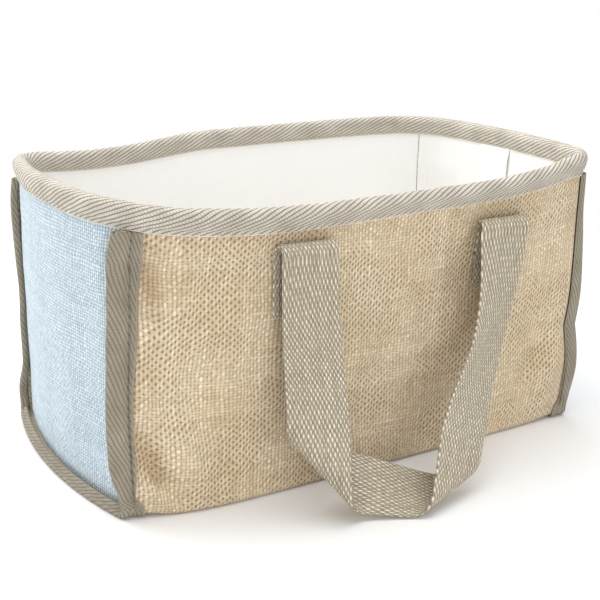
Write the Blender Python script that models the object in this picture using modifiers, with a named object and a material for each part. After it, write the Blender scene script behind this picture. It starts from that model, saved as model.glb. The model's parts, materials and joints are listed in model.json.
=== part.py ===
# Jute shopping basket: a sewn, lined carrier with bound seams and two webbing handles.
# Metres, +Z up, front towards -Y. The basket stands on the floor at z = 0.

import math

import bmesh
import bpy
from mathutils import Matrix, Vector

# Sewn body, measured at the corner seams
seam_half_length = 0.1620
seam_half_depth = 0.092
rim_height = 0.189
fold_radius = 0.0045         # soft fold between the front or back and the base
corner_start = 0.020         # height at which the corners begin to round; the base is sharp
# Rounding of each corner at the rim. Corners are named by the signs of their X and Y.
corner_radii = {(-1, -1): 0.034, (1, -1): 0.008, (-1, 1): 0.015, (1, 1): 0.024}

# Soft outward curves and the slump of the rim
end_bulge = 0.013
side_bulge_base = 0.0090
side_bulge_rim = 0.011
rim_flare = 0.004            # extra outward lean of front and back just under the rim
seam_bulges = {-1: 0.006, 1: 0.001}    # of the corner seams at each end, halfway up
rim_spreads = {-1: 0.002, 1: 0.0055}  # the ends lean out this far at the rim
left_dip = 0.006             # the rim is lower at its -X end
front_dip = 0.0102           # it hangs lower between the corners of the front
rim_sag = 0.0062             # and sags in the back, left of the middle
sag_middle = -0.100
sag_reach = 0.085

# Cloth thicknesses and the clearance left between neighbouring layers
jute = 0.0012
lining = 0.0006
tape = 0.0009
webbing = 0.0022
gap = 0.0003
tape_gap = 0.0006            # under the tape of the corner seams

# Binding tape: what shows of it, and the seam allowance that it wraps
rim_tape_outside = 0.0130
rim_tape_inside = 0.0115
fin_fabric = 0.0090
base_fin = 0.0045            # along the base, where the weight rolls it under
fin_rise = 0.0360            # height at which a fin has its full width
fin_taper = 0.0025           # it is this much narrower under the rim
taper_run = 0.0300
tape_on_panel = 0.0055
side_lining_margin = 0.0028  # the lining sheets stop this far short of the corner seams
end_lining_margin = 0.0040
lift_run = 0.0180            # length over which the base rises onto the tape at each end
lift_height = 0.0300         # height up the ends at which that rise has died out

# Handles
webbing_width = 0.0380
handle_spacing = 0.142       # between the tops of the two legs
handle_offset = 0.0095       # the middle of the loop sits this far towards +X
tab_spacing = 0.148          # between the sewn ends, which sit a little wider than the loop
tab_offset = 0.0128
hinge_below_rim = 0.038      # where each handle folds over
tab_length = 0.0380          # sewn length below the fold
curl_radius = 0.0050         # of that fold, at the middle of the webbing

# The free loop hangs to the floor. Two diagonal folds turn its legs into its bottom, which
# leans back, more at its right fold than at its left one. Folds are named by their end, -1 or 1.
roll_radius = 0.0070         # of both folds, at the middle of the webbing
loop_foot_x = -0.0246        # where the right fold comes down to the floor
loop_foot_front = 0.1687     # its distance in front of the basket's middle
loop_short_edge = 0.0182     # lower edge of the bottom, between the folds
loop_heading = math.radians(25.8)
loop_descent = math.radians(5.3)
bottom_leans = {-1: math.radians(22), 1: math.radians(73)}
fold_angles = {-1: math.radians(43), 1: math.radians(46.3)}
roll_turns = {-1: math.radians(196), 1: math.radians(129)}

# Care label, sewn in blank under the rim tape at the right end
label_width = 0.0320
label_length = 0.0360
label_thickness = 0.0004
label_middle = 0.013         # towards the back from the middle of the end

# Where the fins point in plan, away from X and back round the corner, for each corner
fin_turns = {(-1, -1): math.radians(0), (1, -1): math.radians(9),
             (-1, 1): math.radians(25), (1, 1): math.radians(6)}

# Shares of the sizes above, for the shape of the curves
end_ease_shares = (0.35, 0.90)
side_ease_shares = (0.35, 0.88)
flare_power = 5
dip_power = 3
side_powers = (6, 4)         # at the base and at the rim
inner_leaf_share = 0.85      # the tape's hidden leaf starts no further out than this
base_skew_share = 0.8        # the front bulges more to the left than to the right at the base
leg_length_share = 1.03      # length of a leg's bend, to the straight distance
leg_drop_share = 1.6         # how straight a leg hangs at its top

# How finely the cloth is divided
wall_rows = 6
fold_rows = 3
base_rows = 4
side_steps = 6               # from the middle of the front or back to where its corner begins
end_steps = 3                # from the middle of an end to where its corner begins
corner_steps = 3
curl_steps = 6
tab_columns = 3
loop_columns = 6
loop_fold_steps = 13         # along the strip through each diagonal fold
loop_leg_steps = 9
loop_bottom_steps = 4

# Small steps used only to measure slopes of the cloth
slope_share = 0.002


def ease(value, low, high):
    share = min(max((value - low) / (high - low), 0), 1)
    return share * share * (3 - 2 * share)


def way(value):
    return -1 if value < 0 else 1


def settle(x, y, z):
    """Move a point of the flat-sided basket to where the soft one has it."""
    rise = min(max(z / rim_height, 0), 1)
    along = min(abs(x) / seam_half_length, 1)
    across = min(abs(y) / seam_half_depth, 1)
    near_end = ease(along, *end_ease_shares)
    near_side = ease(across, *side_ease_shares)
    push_x = end_bulge * (1 - across ** 2) + seam_bulges[way(x)] * math.sin(math.pi * rise)
    skew = 1 - base_skew_share * (1 - rise) * x / seam_half_length
    push_y = (side_bulge_base + (side_bulge_rim - side_bulge_base) * rise) * skew
    push_y += rim_flare * rise ** flare_power
    power = side_powers[0] + (side_powers[1] - side_powers[0]) * rise
    push_y *= 1 - along ** power
    dip = left_dip * (1 - max(min(x / seam_half_length, 1), -1)) / 2
    dip += front_dip * ease(-y, 0, seam_half_depth) * (1 - along ** dip_power)
    sag = (1 - min(abs(x - sag_middle) / sag_reach, 1) ** 2) ** 2
    dip += rim_sag * ease(y, 0, seam_half_depth) * sag
    full_lift = seam_half_length - tape_on_panel - webbing
    lift = (tape + tape_gap) * ease(abs(x), full_lift - lift_run, full_lift)
    lift *= max(1 - z / lift_height, 0)
    push_x = push_x * near_end + rim_spreads[way(x)] * rise * ease(along, 0, 1)
    return Vector((
        x + math.copysign(push_x, x),
        y + math.copysign(push_y * near_side, y),
        z * (1 - dip / rim_height) + lift,
    ))


def plan_radius(z, end, side):
    return corner_radii[(end, side)] * ease(z, corner_start, rim_height)


def corner_path(share, radius, half_run, half_other):
    """Run along one wall of a rounded rectangle, from corner middle to corner middle."""
    straight = half_run - radius
    length = abs(share) * (straight + radius * math.pi / 4)
    if length <= straight or radius == 0:
        return math.copysign(length, share), half_other
    turn = (length - straight) / radius
    run = straight + radius * math.sin(turn)
    return math.copysign(run, share), half_other - radius + radius * math.cos(turn)


# The wrap runs down the front, under the base and up the back as one piece.
# Its rows are counted by the length of that path, front rim at the negative end.
wall_run = rim_height - fold_radius
fold_run = fold_radius * math.pi / 2
base_half = seam_half_depth - fold_radius
path_half = base_half + fold_run + wall_run


def wrap_outside(run, share):
    """Outer face of the wrap: run along the path from the middle of the base, share between seams."""
    side = way(run)
    length = abs(run)
    if length <= base_half:
        return settle(share * seam_half_length, run, 0)
    if length <= base_half + fold_run:
        turn = (length - base_half) / fold_radius
        y = base_half + fold_radius * math.sin(turn)
        return settle(share * seam_half_length, side * y, fold_radius * (1 - math.cos(turn)))
    z = fold_radius + length - base_half - fold_run
    radius = plan_radius(z, way(share), way(run))
    x, y = corner_path(share, radius, seam_half_length, seam_half_depth)
    return settle(x, side * y, z)


def end_outside(end, z, share):
    """Outer face of an end panel, end being -1 or 1, share from the front seam to the back one."""
    radius = plan_radius(z, end, way(share))
    y, x = corner_path(share, radius, seam_half_depth, seam_half_length)
    return settle(end * x, y, z)


def slopes(surface, first, second, first_step, first_limits):
    """The point of a surface with its unit tangents, measured inside its limits."""
    low, high = first_limits
    before, after = max(first - first_step, low), min(first + first_step, high)
    left, right = max(second - slope_share, -1), min(second + slope_share, 1)
    along = surface(after, second) - surface(before, second)
    across = surface(first, right) - surface(first, left)
    return surface(first, second), along.normalized(), across.normalized()


def wrap_frame(run, share):
    """Point, outward normal and path tangent of the wrap's outer face."""
    step = slope_share * path_half
    point, along, across = slopes(wrap_outside, run, share, step, (-path_half, path_half))
    return point, across.cross(along).normalized() * -1, along


def end_frame(end, z, share):
    """Point, outward normal and tangent towards the back of an end panel's outer face."""
    def surface(height, place):
        return end_outside(end, height, place)
    point, upward, backward = slopes(surface, z, share, slope_share * rim_height, (0, rim_height))
    return point, backward.cross(upward).normalized() * end, backward


def wrap_layer(run, share, depth):
    point, normal, _ = wrap_frame(run, share)
    return point - normal * depth


def fin_width(run):
    """Width of the seam allowance of the wrap, out in a fin."""
    height = abs(run) - base_half - fold_run
    full = base_fin + (fin_fabric - base_fin) * ease(height, 0, fin_rise)
    return full - fin_taper * ease(height, wall_run - taper_run, wall_run)


def fin_frame(run, end):
    """Seam point of the wrap's middle, then the fin's outward direction and its outer normal."""
    point, normal, along = wrap_frame(run, end)
    height = max(abs(run) - base_half - fold_run, 0)
    side = way(run)
    turn = fin_turns[(end, side)] * ease(height, 0, corner_start * 2)
    direction = Vector((end * math.cos(turn), -side * math.sin(turn), 0))
    outer = along.cross(direction).normalized() * end
    seam = point - normal * jute / 2
    return seam, direction, outer, normal


def end_opening(run, end):
    """Sine and cosine of the angle between a fin and the end panel beside it."""
    _, direction, _, _ = fin_frame(run, end)
    height = abs(run) - base_half - fold_run
    if height <= 0:
        return 1, 0
    side = way(run)
    z = fold_radius + height
    inside = side * (1 - tape_on_panel / seam_half_depth)
    inward = (end_outside(end, z, inside) - end_outside(end, z, side)).normalized()
    return direction.cross(inward).length, max(direction.dot(inward), 0)


def spread(count, low, high):
    return [low + (high - low) * index / count for index in range(count + 1)]


def wall_shares(steps, half_run, margin):
    """Shares across a wall, closer together where its corner is round."""
    widest = max(corner_radii.values())
    corner = widest * math.pi / 4
    straight = 1 - corner / (half_run - widest + corner)
    half = spread(steps, 0, straight)[1:]
    half += spread(corner_steps, straight, 1 - tape_on_panel / half_run)[1:]
    half += [1 - margin / half_run, 1]
    return [-share for share in reversed(half)] + [0] + half


side_shares = wall_shares(side_steps, seam_half_length, side_lining_margin)
end_shares = wall_shares(end_steps, seam_half_depth, end_lining_margin)

hinge_height = rim_height - hinge_below_rim

# The rim tape folds round the stack of jute and lining
stack = jute + gap + lining
crest_radius = stack / 2 + gap + tape / 2
crest_height = rim_height - tape / 2 - crest_radius

wall_top = crest_height
fin_top = rim_height - rim_tape_outside - gap * 2


def wall_path_rows(top):
    """Heights of the rows of a wall, from the fold up, with one row at the top of the fins."""
    heights = spread(wall_rows, fold_radius, fin_top)
    return heights + [(fin_top + top) / 2, top]


def path_rows(top):
    """Rows of the whole wrap path, from the front rim round to the back one."""
    half = spread(base_rows // 2, 0, base_half)[1:]
    half += spread(fold_rows, base_half, base_half + fold_run)[1:]
    half += [base_half + fold_run + z - fold_radius for z in wall_path_rows(top)[1:]]
    return [-run for run in reversed(half)] + [0] + half


def fin_rows():
    reach = base_half + fold_run + fin_top - fold_radius
    return [run for run in path_rows(wall_top) if abs(run) <= reach + gap / 2]


def grid_mesh(name, rows, columns, place, missing=None):
    """A sheet from a grid of rows and columns, each corner placed by a function of its indices."""
    sheet = bmesh.new()
    bmesh.ops.create_grid(sheet, x_segments=columns - 1, y_segments=rows - 1, size=1)
    spots = {}
    for corner in sheet.verts:
        column = round((corner.co.x + 1) / 2 * (columns - 1))
        row = round((corner.co.y + 1) / 2 * (rows - 1))
        spots[corner] = (row, column)
        corner.co = place(row, column)
    if missing:
        cut = [face for face in sheet.faces if missing([spots[corner] for corner in face.verts])]
        bmesh.ops.delete(sheet, geom=cut, context='FACES')
    mesh = bpy.data.meshes.new(name)
    sheet.to_mesh(mesh)
    sheet.free()
    return mesh


def weld(mesh, distance):
    sheet = bmesh.new()
    sheet.from_mesh(mesh)
    bmesh.ops.remove_doubles(sheet, verts=sheet.verts, dist=distance)
    sheet.to_mesh(mesh)
    sheet.free()


def thicken(name, mesh, thickness, material, parent=None):
    """Make an object of a sheet and give it the cloth's thickness, half to each side."""
    piece = bpy.data.objects.new(name, mesh)
    basket.objects.link(piece)
    mesh.materials.append(material)
    mesh.polygons.foreach_set('use_smooth', [True] * len(mesh.polygons))
    wall = piece.modifiers.new('thickness', 'SOLIDIFY')
    wall.thickness = thickness
    wall.offset = 0
    wall.use_even_offset = True
    if parent:
        piece.parent = parent
        mesh.transform(Matrix.Translation(-parent.location))
    return piece


def cloth(name, colour, roughness):
    material = bpy.data.materials.new(name)
    material.use_nodes = True
    shader = material.node_tree.nodes['Principled BSDF']
    shader.inputs['Base Color'].default_value = (*colour, 1)
    shader.inputs['Roughness'].default_value = roughness
    shader.inputs['Metallic'].default_value = 0
    return material


def build_wrap():
    """Front, base and back in one length of jute, with its seam allowances out in the fins."""
    rows = path_rows(wall_top)
    shares = side_shares
    reaches = spread(2, 0, 1)[1:]
    columns = len(shares) + 2 * len(reaches)

    def place(row, column):
        run = rows[row]
        inner = column - len(reaches)
        if 0 <= inner < len(shares):
            return wrap_layer(run, shares[inner], jute / 2)
        end = -1 if inner < 0 else 1
        reach = reaches[-inner - 1] if inner < 0 else reaches[inner - len(shares)]
        seam, direction, _, _ = fin_frame(run, end)
        return seam + direction * reach * fin_width(run)

    bound = {rows.index(run) for run in fin_rows()}

    def above_fins(corners):
        outside = any(not len(reaches) <= column < len(shares) + len(reaches)
                      for _, column in corners)
        return outside and not all(row in bound for row, _ in corners)

    mesh = grid_mesh('jute_wrap', len(rows), columns, place, above_fins)
    return thicken('jute_wrap', mesh, jute, jute_cloth)


def end_rows(depth, top):
    """Rows of an end sheet as height and share, rounded below to lie inside the fold."""
    rows = []
    for turn in spread(fold_rows, math.pi / 2, 0):
        z = fold_radius - (fold_radius - depth) * math.sin(turn)
        y = base_half + (fold_radius - depth) * math.cos(turn)
        rows.append((z, y / seam_half_depth))
    return rows + [(z, None) for z in wall_path_rows(top)[1:]]


def end_margin(run, end):
    """Distance along the end from the corner to the edge of the end panel, behind the wrap."""
    sine, cosine = end_opening(run, end)
    return jute / 2 + (jute / 2 + gap + jute / 2 * cosine) / sine


def stop_short(share, half, margin):
    """Hold a share back from the corner by a margin, leaving the others where they are."""
    return math.copysign(min(abs(share), 1 - margin / half), share)


def build_end_panel(name, end):
    """Blue end panel, set inside the wrap along both sides and the bottom."""
    rows = end_rows(jute + gap, wall_top)
    shares = end_shares

    def place(row, column):
        z, edge = rows[row]
        share = shares[column]
        if edge is None:
            radius = plan_radius(z, end, way(share))
            half = seam_half_depth - radius + radius * math.pi / 4
            run = math.copysign(base_half + fold_run + z - fold_radius, share)
            share = stop_short(share, half, end_margin(run, end))
        else:
            share = share * edge
        point, normal, _ = end_frame(end, z, share)
        return point - normal * jute / 2

    mesh = grid_mesh(name, len(rows), len(shares), place)
    return thicken(name, mesh, jute, blue_cloth)


lining_depth = jute + gap + lining / 2


def build_lining_wrap():
    """Cotton lining of the front, base and back, one length like the jute outside it."""
    rows = path_rows(wall_top)
    shares = side_shares[1:-1]

    def place(row, column):
        return wrap_layer(rows[row], shares[column], lining_depth)

    mesh = grid_mesh('lining_wrap', len(rows), len(shares), place)
    return thicken('lining_wrap', mesh, lining, cotton)


def build_lining_end(name, end):
    rows = end_rows(lining_depth + lining / 2 + gap, wall_top)
    shares = end_shares[1:-1]

    def place(row, column):
        z, edge = rows[row]
        share = shares[column] if edge is None else shares[column] * edge
        point, normal, _ = end_frame(end, z, share)
        return point - normal * lining_depth

    mesh = grid_mesh(name, len(rows), len(shares), place)
    return thicken(name, mesh, lining, cotton)


def build_end_binding(name, end):
    """Tape folded over the fin of one end, down the front corner, along the base and up the back."""
    rows = fin_rows()
    over = jute / 2 + tape_gap + tape / 2        # tape middle from the middle of the wrap
    tip_turns = spread(4, 0, math.pi)
    columns = 3 + 2 + len(tip_turns) + 2

    def place(row, column):
        run = rows[row]
        seam, direction, outer, normal = fin_frame(run, end)
        tip = fin_width(run) + tape_gap
        if column < 2:
            return wrap_layer(run, end * side_shares[column - 3], -(tape_gap + tape / 2))
        if column == 2:
            bisector = normal + outer
            return seam + bisector * over / (1 + normal.dot(outer))
        if column < 5:
            return seam + direction * tip * (column - 2) / 3 + outer * over
        if column < 5 + len(tip_turns):
            turn = tip_turns[column - 5]
            return seam + direction * (tip + over * math.sin(turn)) + outer * over * math.cos(turn)
        sine, cosine = end_opening(run, end)
        start = min((over + tape) * (1 + cosine) / sine, tip * inner_leaf_share)
        share = (column - 4 - len(tip_turns)) / 2
        return seam + direction * (tip + (start - tip) * share) - outer * over

    mesh = grid_mesh(name, len(rows), columns, place)
    return thicken(name, mesh, tape, twill_tape)


def rim_ring():
    """Stations round the rim: the wall they belong to and their share across it."""
    walls = (('front', 1, side_shares), ('right', 1, end_shares),
             ('back', -1, side_shares), ('left', -1, end_shares))
    return [(wall, share * way) for wall, way, shares in walls for share in shares[:-1]]


def rim_frame(kind, share, z):
    if kind in ('front', 'back'):
        side = -1 if kind == 'front' else 1
        point, normal, _ = wrap_frame(side * (base_half + fold_run + z - fold_radius), share)
    else:
        point, normal, _ = end_frame(-1 if kind == 'left' else 1, z, share)
    return point, normal


def build_rim_binding():
    """Tape folded over the whole rim, longer outside than inside."""
    stations = rim_ring()
    outside = -(gap + tape / 2)
    inside = stack + gap + tape / 2
    turns = spread(4, 0, math.pi)
    heights_out = spread(2, rim_height - rim_tape_outside, crest_height)
    heights_in = spread(2, crest_height, rim_height - rim_tape_inside)
    section = [(z, outside) for z in heights_out]
    section += [(crest_height + crest_radius * math.sin(turn), stack / 2 - crest_radius * math.cos(turn))
                for turn in turns[1:-1]]
    section += [(z, inside) for z in heights_in]

    def place(row, column):
        kind, share = stations[row % len(stations)]
        z, depth = section[column]
        point, normal = rim_frame(kind, share, min(z, crest_height))
        return point - normal * depth + Vector((0, 0, max(z - crest_height, 0)))

    mesh = grid_mesh('rim_binding', len(stations) + 1, len(section), place)
    weld(mesh, gap / 3)
    return thicken('rim_binding', mesh, tape, twill_tape)


def wall_run_at(side, x, height):
    """Path run and share of the outer face's point at a given x and world height."""
    z, share = height, x / seam_half_length
    for _ in range(6):
        run = side * (base_half + fold_run + z - fold_radius)
        point = wrap_outside(run, share)
        z += height - point.z
        share += (x - point.x) / seam_half_length
    return side * (base_half + fold_run + z - fold_radius), share


def hinge_depth():
    """Distance from the basket's middle plane to the middle of the webbing at the handles' folds."""
    proud = 0
    for side in (-1, 1):
        for tab in (-1, 1):
            x = tab_offset + tab * tab_spacing / 2
            run, share = wall_run_at(side, x, hinge_height)
            proud = max(proud, abs(wrap_layer(run, share, -(gap + webbing / 2)).y))
    return proud + 2 * curl_radius


def build_tab(name, side, tab):
    """Sewn end of a handle: flat on the panel, then curled over at the top."""
    middle = tab_offset + tab * tab_spacing / 2
    shift = handle_offset + tab * handle_spacing / 2 - middle
    xs = spread(tab_columns, middle - webbing_width / 2, middle + webbing_width / 2)
    heights = spread(4, hinge_height - tab_length, hinge_height)
    turns = spread(curl_steps, 0, math.pi)[1:]
    front = side * hinge_depth()
    end_height = hinge_height + gap / 2

    def place(row, column):
        x = xs[column]
        height = heights[min(row, len(heights) - 1)]
        run, share = wall_run_at(side, x, height)
        point = wrap_layer(run, share, -(gap + webbing / 2))
        if row < len(heights):
            return point
        if row == len(heights) + len(turns):
            return Vector((x + shift, front, end_height))
        turn = turns[row - len(heights)]
        back_y = point.y
        y = (back_y + front) / 2 + (back_y - front) / 2 * math.cos(turn)
        base = point.z + (end_height + webbing / 2 - point.z) * (1 - math.cos(turn)) / 2
        return Vector((x + shift * turn / math.pi, y, base + curl_radius * math.sin(turn)))

    mesh = grid_mesh(name, len(heights) + len(turns) + 1, len(xs), place)
    return thicken(name, mesh, webbing, webbing_cloth)


class Fold:
    """A diagonal fold of the front loop and the leg that rises from it, end being -1 or 1."""

    def __init__(self, end):
        level = Vector((math.cos(loop_heading), -math.sin(loop_heading), 0))
        along = level * math.cos(loop_descent) - Vector((0, 0, math.sin(loop_descent)))
        upright = (Vector((0, 0, 1)) - along * along.z).normalized()
        self.angle = fold_angles[end]
        self.turn = roll_turns[end]
        self.width = Matrix.Rotation(-bottom_leans[end], 3, along) @ upright
        self.front = along.cross(self.width)
        self.outward = along * end
        self.crease = self.outward * math.cos(self.angle) + self.width * math.sin(self.angle)
        self.across = self.outward * math.sin(self.angle) - self.width * math.cos(self.angle)
        foot = Vector((loop_foot_x, -loop_foot_front, webbing / 2 + gap))
        if end < 0:
            foot -= along * loop_short_edge
        self.middle = foot + self.crease * (webbing_width / 2 / math.sin(self.angle))
        self.reach = webbing_width / 2 / math.tan(self.angle)
        rolled = roll_radius * self.turn + webbing_width / 2 * math.cos(self.angle)
        self.bend_start = rolled / math.sin(self.angle)
        spin = Matrix.Rotation(self.turn, 3, self.across.cross(self.front))
        self.leg = spin @ self.outward
        self.leg_width = spin @ self.width
        self.top_width = Vector((end, 0, 0))
        top = hinge_height - gap / 2 - webbing
        self.top = Vector((handle_offset + end * handle_spacing / 2, -hinge_depth(), top))
        self.bend_foot = self.rolled_point(self.bend_start, 0)
        self.bend_length = (self.top - self.bend_foot).length * leg_length_share
        self.length = self.bend_start + self.bend_length + webbing

    def beyond(self, along, over):
        """Distance past the crease, for a point of the flat strip counted from the fold's middle."""
        return along * math.sin(self.angle) - over * math.cos(self.angle)

    def flat_point(self, along, over):
        return self.middle + self.outward * along + self.width * over

    def rolled_point(self, along, over):
        past = self.beyond(along, over)
        level = along * math.cos(self.angle) + over * math.sin(self.angle)
        turn = min(past / roll_radius, self.turn)
        spot = self.middle + self.crease * level
        spot += self.across * roll_radius * math.sin(turn)
        spot += self.front * roll_radius * (1 - math.cos(turn))
        onward = self.across * math.cos(turn) + self.front * math.sin(turn)
        return spot + onward * (past - roll_radius * turn)

    def leg_point(self, along, over):
        """Point of the leg, which bends and untwists on its way up to the handle's fold."""
        length = self.bend_length
        share = min((along - self.bend_start) / length, 1)
        left = 1 - share
        spot = self.bend_foot * left * left * (1 + 2 * share) + self.top * share * share * (1 + 2 * left)
        spot += self.leg * length * share * left * left
        spot -= Vector((0, 0, length * leg_drop_share)) * share * share * left
        spot.z += max(along - self.bend_start - length, 0)
        eased = ease(share, 0, 1)
        return spot + (self.leg_width * (1 - eased) + self.top_width * eased).normalized() * over


def loop_folds():
    folds = {end: Fold(end) for end in (-1, 1)}
    between = loop_short_edge + folds[-1].reach + folds[1].reach
    return folds, between


def loop_point(folds, between, along, over):
    """Point of the front loop, along its strip from midway between the folds, and over its width."""
    end = -1 if along < 0 else 1
    fold, other = folds[end], folds[-end]
    past_fold = abs(along) - between / 2
    past = fold.beyond(past_fold, over)
    if past > 0 and past_fold > fold.bend_start:
        return fold.leg_point(past_fold, over)
    if past > 0:
        return fold.rolled_point(past_fold, over)
    to_other = -abs(along) - between / 2
    share = ease(past / (past + other.beyond(to_other, over)), 0, 1)
    near, far = fold.flat_point(past_fold, over), other.flat_point(to_other, over)
    return near * (1 - share) + far * share


def loop_lengths(folds, between):
    """Stations along the strip, close together through its two diagonal folds."""
    starts = {end: between / 2 - folds[end].reach for end in folds}
    lengths = spread(loop_bottom_steps, -starts[-1], starts[1])[1:-1]
    for end, fold in folds.items():
        bend_start = between / 2 + fold.bend_start
        outer = spread(loop_fold_steps, starts[end], bend_start)
        outer += spread(loop_leg_steps, bend_start, bend_start + fold.bend_length)[1:]
        outer += [between / 2 + fold.length]
        lengths += [end * length for length in outer]
    return sorted(lengths)


def build_loop(name, side):
    """Free loop of a handle: two legs, each turned by a soft diagonal fold into the bottom."""
    folds, between = loop_folds()
    lengths = loop_lengths(folds, between)
    overs = spread(loop_columns, -webbing_width / 2, webbing_width / 2)
    hinge = bpy.data.objects.new(name + '_hinge', None)
    hinge.location = (0, side * (hinge_depth() + webbing / 2 + gap / 2), hinge_height)
    basket.objects.link(hinge)

    def place(row, column):
        spot = loop_point(folds, between, lengths[row], overs[column])
        return Vector((spot.x, -side * spot.y, spot.z))

    mesh = grid_mesh(name, len(lengths), len(overs), place)
    loop = thicken(name, mesh, webbing, webbing_cloth, hinge)
    loop.modifiers['thickness'].use_even_offset = False
    return loop


def build_label():
    """Blank cotton label hanging inside the right end from under the rim tape."""
    top = rim_height - rim_tape_inside - gap
    heights = spread(3, top - label_length, top)
    depth = jute + gap + lining + gap + label_thickness / 2
    half = label_width / 2
    ys = spread(2, label_middle - half, label_middle + half)

    def place(row, column):
        point, normal, _ = end_frame(1, heights[row], ys[column] / seam_half_depth)
        return point - normal * depth

    mesh = grid_mesh('care_label', len(heights), len(ys), place)
    return thicken('care_label', mesh, label_thickness, cotton)


def clear_scene():
    for item in list(bpy.data.objects):
        bpy.data.objects.remove(item)


clear_scene()
basket = bpy.data.collections.new('jute_shopping_basket')
bpy.context.scene.collection.children.link(basket)

jute_cloth = cloth('natural_jute', (0.60, 0.45, 0.27), 0.9)
blue_cloth = cloth('blue_jute', (0.48, 0.63, 0.72), 0.9)
cotton = cloth('white_cotton', (0.88, 0.86, 0.82), 0.85)
twill_tape = cloth('twill_tape', (0.43, 0.38, 0.29), 0.85)
webbing_cloth = cloth('cotton_webbing', (0.55, 0.49, 0.37), 0.85)

build_wrap()
for end, place_name in ((-1, 'left'), (1, 'right')):
    build_end_panel(place_name + '_end_panel', end)
    build_lining_end('lining_' + place_name + '_end', end)
    build_end_binding(place_name + '_end_binding', end)
build_lining_wrap()
build_rim_binding()
for side, side_name in ((-1, 'front'), (1, 'back')):
    build_loop(side_name + '_handle', side)
    for tab, tab_name in ((-1, 'left'), (1, 'right')):
        build_tab(side_name + '_handle_' + tab_name + '_end', side, tab)
build_label()
bpy.context.view_layer.update()
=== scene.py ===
# Jute shopping basket: the looks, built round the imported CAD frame.
# Metres, +Z up, front towards -Y, the same frame as the CAD.

import json
import math

import bpy
from mathutils import Matrix, Vector, noise


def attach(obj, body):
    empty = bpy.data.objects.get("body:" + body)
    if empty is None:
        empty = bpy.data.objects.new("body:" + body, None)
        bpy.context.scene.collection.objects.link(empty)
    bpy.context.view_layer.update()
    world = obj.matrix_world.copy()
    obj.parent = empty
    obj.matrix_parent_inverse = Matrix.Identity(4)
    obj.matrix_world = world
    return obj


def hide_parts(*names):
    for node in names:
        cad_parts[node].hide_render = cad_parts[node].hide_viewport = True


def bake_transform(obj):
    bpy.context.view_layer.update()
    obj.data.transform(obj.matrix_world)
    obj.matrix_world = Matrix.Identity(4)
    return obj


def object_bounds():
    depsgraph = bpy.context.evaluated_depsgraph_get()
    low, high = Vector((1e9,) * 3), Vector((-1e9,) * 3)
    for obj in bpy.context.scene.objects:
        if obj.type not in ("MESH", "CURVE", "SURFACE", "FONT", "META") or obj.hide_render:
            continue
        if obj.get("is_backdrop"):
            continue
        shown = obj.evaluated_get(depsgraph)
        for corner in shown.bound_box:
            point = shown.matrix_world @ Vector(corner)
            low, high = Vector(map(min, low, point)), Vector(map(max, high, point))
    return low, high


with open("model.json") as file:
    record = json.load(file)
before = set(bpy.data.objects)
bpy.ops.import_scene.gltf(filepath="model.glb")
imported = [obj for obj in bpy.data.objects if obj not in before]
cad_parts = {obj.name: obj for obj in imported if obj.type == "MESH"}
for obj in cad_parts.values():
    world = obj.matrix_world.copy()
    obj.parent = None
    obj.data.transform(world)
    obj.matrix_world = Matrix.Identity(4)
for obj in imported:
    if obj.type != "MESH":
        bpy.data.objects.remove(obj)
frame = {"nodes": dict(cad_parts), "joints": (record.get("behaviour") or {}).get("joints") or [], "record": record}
cadLow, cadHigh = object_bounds()
bpy.ops.object.select_all(action='DESELECT')
print("frame loaded:", len(frame["nodes"]), "nodes")

# The sewn body: the same sizes as the CAD, with its soft dents and bulges

body = {
    "halfLength": 0.162, "halfDepth": 0.092, "rimHeight": 0.189, "foldRadius": 0.0045,
    "cornerStart": 0.020,
    "cornerRadii": {(-1, -1): 0.034, (1, -1): 0.008, (-1, 1): 0.015, (1, 1): 0.024},
    "endBulge": 0.013, "sideBulgeBase": 0.0090, "sideBulgeRim": 0.011, "rimFlare": 0.004,
    "seamBulges": {(-1, -1): 0.0035, (-1, 1): 0.000, (1, -1): 0.001, (1, 1): 0.001},
    "rimSpreads": {-1: 0.002, 1: 0.0055},
    # The right front corner is pinched in above its foot
    "pinch": {"height": 0.046, "reach": 0.030, "depth": 0.0055, "from": 0.3, "rise": 0.015},
    "leftDip": 0.006, "frontDip": 0.0102, "dipPower": 3,
    "rimSag": 0.0062, "sagMiddle": -0.100, "sagReach": 0.085,
    "endEase": (0.35, 0.90), "sideEase": (0.35, 0.88), "flarePower": 5, "sidePowers": (6, 4),
    "baseSkew": 0.8, "offFloor": 0.012, "sideFade": 0.965, "endFade": 0.93,
    "jute": 0.0012, "lining": 0.0006, "tape": 0.0009, "webbing": 0.0022,
    "gap": 0.0003, "tapeGap": 0.0006,
    "liftRun": 0.018, "liftHeight": 0.030, "tapeOnPanel": 0.0055,
}

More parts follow.
